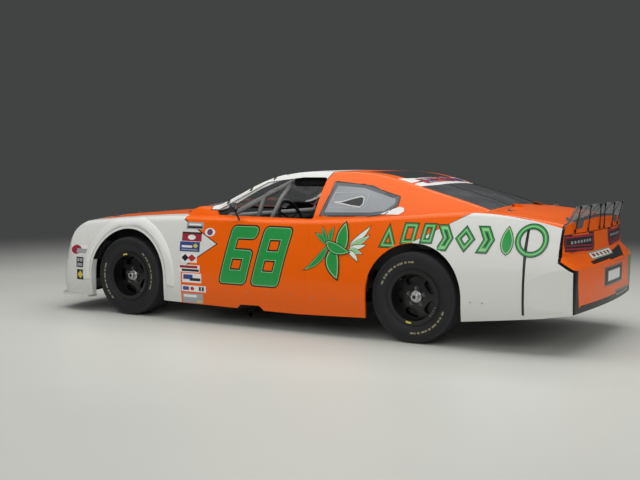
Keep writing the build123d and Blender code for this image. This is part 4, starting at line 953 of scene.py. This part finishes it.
for side, name in SIDES:
    tubes, foam, net = bmesh.new(), bmesh.new(), bmesh.new()
    for points in BARS_IN_WINDOW:
        hose(tubes, points, BAR_RADIUS, side)
    for points in FOAM:
        hose(foam, points, FOAM_RADIUS, side)
        for spot, after in zip(map(Vector, points), map(Vector, points[1:])):
            middle, step = (spot + after) / 2, (after - spot).normalized() * TIE_HALF
            hose(foam, (middle - step, middle + step), TIE_RADIUS, side)
    for k in range(6):                          # let down, the net hangs in folds behind the door
        x = NET_BACK + (NET_FRONT - NET_BACK) * k / 5
        hose(net, ((x, NET_Y, NET_TOP - 0.02), (x + 0.05, NET_Y + 0.02, NET_TOP - 0.07),
                   (x + 0.02, NET_Y - 0.015, NET_TOP - 0.15)), 0.016, side, flat_to=0.25)
    for k in range(3):
        z = NET_TOP - 0.035 - 0.04 * k
        hose(net, ((NET_BACK, NET_Y + 0.01, z), ((NET_BACK + NET_FRONT) / 2, NET_Y + 0.025, z - 0.01),
                   (NET_FRONT + 0.04, NET_Y + 0.01, z)), 0.012, side, flat_to=0.3)
    piece(name + "_window_bars", tubes, [grey_enamel], smooth=True)
    piece(name + "_bar_foam", foam, [foam_wrap], smooth=True)
    piece(name + "_window_net", net, [belt_webbing], smooth=True)
print("cabin bars wrapped")

# %% Belts, headrest and controls
SEAT_Y, BELT_X, BELT_HALF = 0.388, -0.270, 0.085
DIALS = ((0.30, 0.815, 0.030), (0.388, 0.825, 0.044), (0.476, 0.815, 0.030), (0.20, 0.800, 0.030),
         (0.10, 0.800, 0.030))                               # y, z and radius
belts, rest = bmesh.new(), bmesh.new()
for side in (-1, 1):
    across = side * BELT_HALF
    y = SEAT_Y + across
    hose(belts, ((-0.416, y, 0.880), (-0.350, y, 0.960), (-0.300, y, 0.930), (BELT_X, y, 0.800),
                 (BELT_X + 0.03, y - across * 0.3, 0.640), (BELT_X + 0.09, SEAT_Y + across * 0.35, 0.500)),
         0.036, sides=10, flat_to=0.10)
    hose(belts, ((-0.150, SEAT_Y + across * 2.1, 0.470), (-0.160, SEAT_Y + across * 1.2, 0.500),
                 (-0.172, SEAT_Y + across * 0.2, 0.500)), 0.034, sides=10, flat_to=0.12)
    hose(rest, ((-0.365, SEAT_Y + side * 0.150, 1.010), (-0.300, SEAT_Y + side * 0.165, 1.005),
                (-0.200, SEAT_Y + side * 0.160, 0.990)), 0.038, flat_to=0.75)
hose(rest, ((-0.352, SEAT_Y - 0.12, 1.000), (-0.358, SEAT_Y, 1.004), (-0.352, SEAT_Y + 0.12, 1.000)), 0.036)
buckle, dials, faces, lever = bmesh.new(), bmesh.new(), bmesh.new(), bmesh.new()
prism_at(buckle, 0.034, 0.018, (-0.165, SEAT_Y, 0.512), sides=24, along="Z")
prism_at(buckle, 0.012, 0.012, (-0.165, SEAT_Y, 0.527), sides=6, along="Z")
for y, z, radius in DIALS:
    prism_at(dials, radius, 0.020, (0.512, y, z), sides=28, along="X")
    prism_at(faces, radius - 0.004, 0.004, (0.5005, y, z), sides=28, along="X")
for k in range(6):
    box_at(faces, (0.503, 0.00 - 0.03 * k, 0.785), (0.510, 0.014 - 0.03 * k, 0.815))
hose(lever, ((0.150, 0.080, 0.330), (0.140, 0.090, 0.450), (0.100, 0.110, 0.600)), 0.010)
bmesh.ops.create_uvsphere(lever, u_segments=16, v_segments=10, radius=0.026,
                          matrix=Matrix.Translation((0.098, 0.111, 0.620)))
prism_at(lever, 0.055, 0.050, (0.150, 0.080, 0.340), sides=20, along="Z", top=0.018)
piece("harness_belts", belts, [belt_webbing], smooth=True)
piece("harness_buckle", buckle, [machined_aluminium])
piece("head_surround", rest, [foam_wrap], smooth=True)
piece("gauges", dials, [machined_aluminium])
piece("gauge_faces", faces, [film["black"]])
piece("gear_lever", lever, [black_enamel], smooth=True)
print("cabin fitted")

# %% Quarter window pane, vent and swoosh; rear banner and window straps
DUCT = [(-0.478, 1.032), (-0.560, 1.042), (-0.640, 1.066), (-0.712, 1.084), (-0.742, 1.070),
        (-0.744, 1.020), (-0.722, 0.998), (-0.640, 1.006), (-0.560, 1.020)]
INSERT = [(-0.450, 0.985), (-0.765, 0.990), (-0.775, 1.118), (-0.470, 1.110)]
SWOOSH = [(-0.835, 0.921), (-0.925, 0.940), (-1.010, 0.996), (-1.050, 1.010), (-1.086, 1.000),
          (-1.092, 0.976), (-1.055, 0.950), (-0.960, 0.926)]
PANE = [(-0.385, 0.922), (-0.452, 1.192), (-0.715, 1.176), (-1.030, 1.088), (-1.034, 1.020),
        (-0.945, 0.948), (-0.825, 0.932)]
PANE_LIFT = 0.004           # the pane is a sheet screwed onto the outside
BANNER = [(-0.935, 0.570), (-0.985, 0.350), (-1.005, 0.0), (-0.985, -0.350), (-0.935, -0.570),
          (-1.130, -0.570), (-1.180, -0.350), (-1.200, 0.0), (-1.180, 0.350), (-1.130, 0.570)]
BANNER_BARS = ((0.40, 0.30, "crimson"), (0.28, 0.24, "blue"), (0.22, 0.12, "crimson"), (0.10, 0.02, "red"),
               (0.00, -0.10, "crimson"), (-0.12, -0.16, "blue"), (-0.18, -0.30, "crimson"),
               (-0.32, -0.42, "blue"))
STRAP_TOP, STRAP_FOOT, STRAP_HALF, STRAPS = -1.215, -1.728, 0.014, (-0.22, 0.22)
hazy_sheet = sheet_plastic("hazy_polycarbonate", "#7C8185", 0.94)
pane_rim = vinyl_film("pane_rim_tape", "#54585B")
for side, name in SIDES:
    sail = skin_of(name + "_sail_panel", "quarter_windows")
    shape = dropped(outlined(flat(PANE), 0.024, 0.006), sail, 1, side, PANE_LIFT)
    piece(name + "_pane", shape, [hazy_sheet, pane_rim, film["black"]])
    layers = [(hollowed(flat(INSERT), 0.007), "silver"),
              (outlined(flat(DUCT), 0.005, 0.0035), ("black", "silver", "white"))]
    layered(name + "_window_vent", layers, sail, 1, side, lift=PANE_LIFT + FILM)
    layered(name + "_swoosh", [(flat(SWOOSH), "white")], sail, 1, side, lift=PANE_LIFT)
layers = [(flat(BANNER, 2), "white")]
for y0, y1, colour in BANNER_BARS:
    x = -1.010 + 0.035 * abs(y0)
    layers.append((flat([(x, y0), (x - 0.012, y1), (x - 0.130, y1), (x - 0.118, y0)], 2), colour))
layered("rear_banner", layers, skin_of("roof_panel", "rear_window", *pair("sail_panel")), 2, 1)
straps = [(flat([(STRAP_TOP, y - STRAP_HALF), (STRAP_TOP, y + STRAP_HALF), (STRAP_FOOT, y + STRAP_HALF),
                 (STRAP_FOOT, y - STRAP_HALF)], 2), "black") for y in STRAPS]
layered("rear_window_straps", straps, skin_of("rear_window"), 2, 1)
print("windows dressed")

# %% [markdown]
# ## Tail and nose
# Lamps on such a car are stickers: a crimson lens drawn with a black frame and pale streaks. Below
# them are a dark slot, a blank plate in a black frame and the outlet under the bumper.

# %% Tail stickers
LAMP = [(0.205, 0.842), (0.800, 0.846), (0.818, 0.800), (0.800, 0.728), (0.240, 0.704), (0.205, 0.740)]
LAMP_CELL = [(0.245, 0.822), (0.770, 0.826), (0.780, 0.765), (0.250, 0.742)]
SLOT = [(0.480, 0.640), (0.040, 0.630), (-0.395, 0.612), (-0.578, 0.690), (-0.604, 0.690),
        (-0.604, 0.678), (-0.420, 0.594), (0.040, 0.610), (0.462, 0.622)]
LEDGE_PATCH = [(0.380, 0.695), (-0.190, 0.699), (-0.172, 0.654), (0.400, 0.650)]
PLATE_FRAME = [(0.232, 0.578), (-0.324, 0.578), (-0.324, 0.434), (0.232, 0.434)]
PLATE = [(0.140, 0.546), (-0.232, 0.546), (-0.232, 0.464), (0.140, 0.464)]
PLATE_SCREWS = ((0.190, 0.556), (-0.285, 0.556))
CORNER_STRIP = [(-0.625, 0.600), (-0.720, 0.640), (-0.775, 0.620), (-0.760, 0.400), (-0.660, 0.385)]
OUTLET = [(-0.090, 0.378), (-0.690, 0.366), (-0.640, 0.322), (-0.150, 0.328)]


def bars(y0, y1, z0, z1, share, count, colour):
    """A row of upright bars between two corners, as one layer."""
    step, row = (y1 - y0) / count, bmesh.new()
    for k in range(count):
        near, far = y0 + step * k, y0 + step * (k + share)
        flat([(near, z0), (far, z0), (far, z1), (near, z1)], 0, row)
    return row, colour


def framed(outline, inner, outer, *colours):
    """An outline on the tail or the nose with its two rims, as one layer."""
    return outlined(flat(outline, 0), inner, outer), colours


tail = {}
for side, name in SIDES:
    tail[name + "_tail_lamp"] = [
        framed([(y * side, z) for y, z in LAMP][::side], 0.012, 0.012, "black", "crimson", "black"),
        (hollowed(flat([(y * side, z) for y, z in LAMP_CELL][::side], 0), 0.008), "crimson"),
        bars(0.290 * side, 0.720 * side, 0.776, 0.796, 0.55, 7, "silver"),
        bars(0.275 * side, 0.745 * side, 0.716, 0.724, 0.80, 4, "crimson")]
tail["tail_slot_and_patch"] = [
    (flat(SLOT, 0), "black"), framed(LEDGE_PATCH, 0.004, 0.003, "white", "green", "silver"),
    bars(0.340, -0.150, 0.664, 0.684, 0.60, 5, "crimson"),
    bars(0.300, -0.130, 0.668, 0.680, 0.30, 5, "green")]
tail["blank_plate"] = [
    framed(PLATE_FRAME, 0.004, 0.004, "black", "silver", "black"),
    framed(PLATE, 0.003, 0.003, "white", "silver", "silver"),
    *((oval(screw, 0.006, 0.006, 14, 0), "silver") for screw in PLATE_SCREWS)]
tail["tail_corner_strip"] = [framed(CORNER_STRIP, 0.006, 0.006, *LEAFY)]
tail["tail_outlet"] = [framed(OUTLET, 0.005, 0.005, "black", "silver", "black")]
tail_skin = skin_of("rear_bumper_cover", "decklid")
for name, layers in tail.items():
    layered(name, layers, tail_skin, 0, -1)
print("tail dressed")

# %% Nose stickers and arch flares
HEADLAMP = [(0.480, 0.610), (0.860, 0.640), (0.870, 0.700), (0.800, 0.735), (0.520, 0.690)]
LENSES = ((0.60, 0.665), (0.73, 0.685))
ARCH_Z, ARCH_BACK, ARCH_STEPS = 0.352, 0.023, 72
FLARE = ((0.4405, 0.001), (0.4420, 0.009), (0.4500, 0.014), (0.4650, 0.0165), (0.4850, 0.0145),
         (0.5050, 0.0085), (0.5200, 0.0030), (0.5260, 0.0004))      # radius, how far it stands out
FLARE_WALL, WIDEST = 0.004, 0.9685


def beside(skin, side, x, z):
    """The spot at (x, z) on a skin, as seen from one side."""
    return skin.ray_cast(Vector((x, 1.5 * side, z)), Vector((0, -side, 0)))[0]


nose_skin = skin_of("front_bumper_cover")
for side, name in SIDES:
    lamp = [(y * side, z) for y, z in HEADLAMP][::-side]
    layers = [framed(lamp, 0.010, 0.008, "silver", "white", "black")]
    for half_y, half_z, colour in ((0.040, 0.030, "black"), (0.030, 0.022, "white")):
        layers += [(oval((y * side, z), half_y, half_z, 28, 0), colour) for y, z in LENSES]
    layered(name + "_headlamp_sticker", layers, nose_skin, 0, 1)
    hub, arch = hub_of["front_" + name], skin_of(name + "_front_fender", "front_bumper_cover")
    rings = []
    for k in range(ARCH_STEPS + 1):
        angle = math.radians(-8 + 196 * k / ARCH_STEPS)
        fade = min(1.0, (k + 1) / 8, (ARCH_STEPS + 1 - k) / 8)
        ring = []
        for radius, stands in FLARE:
            x = hub.x - ARCH_BACK + radius * math.cos(angle)
            z = ARCH_Z + radius * math.sin(angle)
            hit = beside(arch, side, x, z)
            if hit is not None:
                ring.append(Vector((x, min(abs(hit.y) + stands * fade, WIDEST) * side, z)))
        if len(ring) == len(FLARE):
            rings.append(ring + [Vector((v.x, v.y - FLARE_WALL * side, v.z)) for v in ring[::-1]])
    shape = bmesh.new()
    skinned(shape, rings)
    piece(name + "_arch_flare", shape, [moulded_white], smooth=True)
    print(name, "flare sections", len(rings))

# %% Joint tape, rivets, lid pins and mirror glass
SEAM_FRONT, SEAM_BACK = -2.071, -2.088
TAPE = [(SEAM_BACK, 0.250), (SEAM_FRONT, 0.250), (SEAM_FRONT, 0.560), (SEAM_FRONT + 0.006, 0.740),
        (SEAM_FRONT, 0.900), (SEAM_BACK, 0.900), (SEAM_BACK, 0.560)]
RIVETS = [(0.62 - 0.2 * k, 0.292) for k in range(8)] + [(-1.700, 0.350), (-1.790, 0.350)]
LID_PINS = (                # body, then x and y of each pin
    ("hood", ((1.955, 0.56), (1.985, 0.20), (1.985, -0.20), (1.955, -0.56), (1.060, 0.60), (1.060, -0.60))),
    ("decklid", ((-2.255, 0.50), (-2.255, -0.50), (-1.840, 0.56), (-1.840, -0.56))))
WIRE_TURNS = (0.5, 1.3, 2.4, 3.6, 4.8, 5.8)                  # bends of a pin's wire ring
rivet_steel = grained("bright_rivets", "#B9BABA", "#8F9191", 1, 0.35, metallic=0.9)
for side, name in SIDES:
    layered(name + "_joint_tape", [(flat(TAPE), "black")], flanks[side], 1, side)
    shape = bmesh.new()
    for x, z in RIVETS:
        hit = beside(flanks[side], side, x, z)
        prism_at(shape, 0.0055, 0.0022, hit + Vector((0, 0.0008 * side, 0)), sides=12)
        prism_at(shape, 0.0030, 0.0016, hit + Vector((0, 0.0020 * side, 0)), sides=10)
    piece(name + "_rivets", shape, [rivet_steel])
for body, spots in LID_PINS:
    lid = skin_of(body)
    plates, pins = bmesh.new(), bmesh.new()
    for x, y in spots:
        top = lid.ray_cast(Vector((x, y, 1.5)), Vector((0, 0, -1)))[0]
        prism_at(plates, 0.024, 0.003, top + Vector((0, 0, 0.001)), sides=28, along="Z")
        prism_at(pins, 0.0055, 0.016, top + Vector((0, 0, 0.009)), sides=14, along="Z", top=0.004)
        hose(pins, [top + Vector((0.030 * math.cos(t) - 0.022, 0.010 * math.sin(t), 0.006))
                    for t in WIRE_TURNS], 0.0016, sides=8)
    piece(body + "_pin_plates", plates, [machined_aluminium], body)
    piece(body + "_pins", pins, [nut_steel], body, smooth=True)
mirror_glass = Look("mirror_glass", Metallic=1.0, Roughness=0.03, Base_Color="#C9CDCF").material
shape = dropped(oval((0.944, 0.984), 0.036, 0.021, 28, 0), skin_of("side_mirror"), 0, -1, 0.0008)
piece("mirror_face", shape, [mirror_glass])
print("tape, rivets and pins on")

# %% [markdown]
# ## Seat cushion
# The seat's pad is foam under cloth. Its CAD solid is copied a little smaller, given an even mesh,
# blown up gently as cloth, held to a few millimetres, and smoothed once.

# %% Blowing up the cushion
SHRINK, VOXEL, MOST, PRESSURE, FRAMES = 0.004, 0.008, 0.007, 4.0, 20
shape = bmesh.new()
shape.from_mesh(nodes["seat_cushion"].data)
bmesh.ops.remove_doubles(shape, verts=shape.verts, dist=0.0002)
shape.normal_update()
for vert in shape.verts:
    vert.co -= vert.normal * SHRINK
seat_cloth = grained("quilted_seat_cloth", "#2B2C2F", "#17181A", 1.8, 0.88, bump=0.7)
cushion = piece("padded_seat_cushion", shape, [seat_cloth], smooth=True)
cushion.modifiers.new("even", "REMESH").voxel_size = VOXEL


def settled(thing):
    """Replaces a piece's mesh by what its modifiers make of it."""
    graph = bpy.context.evaluated_depsgraph_get()
    made = bpy.data.meshes.new_from_object(thing.evaluated_get(graph))
    thing.modifiers.clear()
    thing.data = made
    for face in made.polygons:
        face.use_smooth = True


settled(cushion)
start = [vert.co.copy() for vert in cushion.data.vertices]
cloth = cushion.modifiers.new("blown", "CLOTH").settings
cloth.use_pressure = True
cloth.uniform_pressure_force = PRESSURE
cloth.effector_weights.gravity = 0.0
for frame_number in range(1, FRAMES + 1):
    bpy.context.scene.frame_set(frame_number)
settled(cushion)
bpy.context.scene.frame_set(1)
for vert, first in zip(cushion.data.vertices, start):
    move = vert.co - first
    if move.length > MOST:
        vert.co = first + move.normalized() * MOST
cushion.modifiers.new("fine", "SUBSURF").levels = 1
settled(cushion)
cushion.data.materials.clear()
cushion.data.materials.append(seat_cloth)
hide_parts("seat_cushion")
print("cushion", len(cushion.data.polygons), "faces")
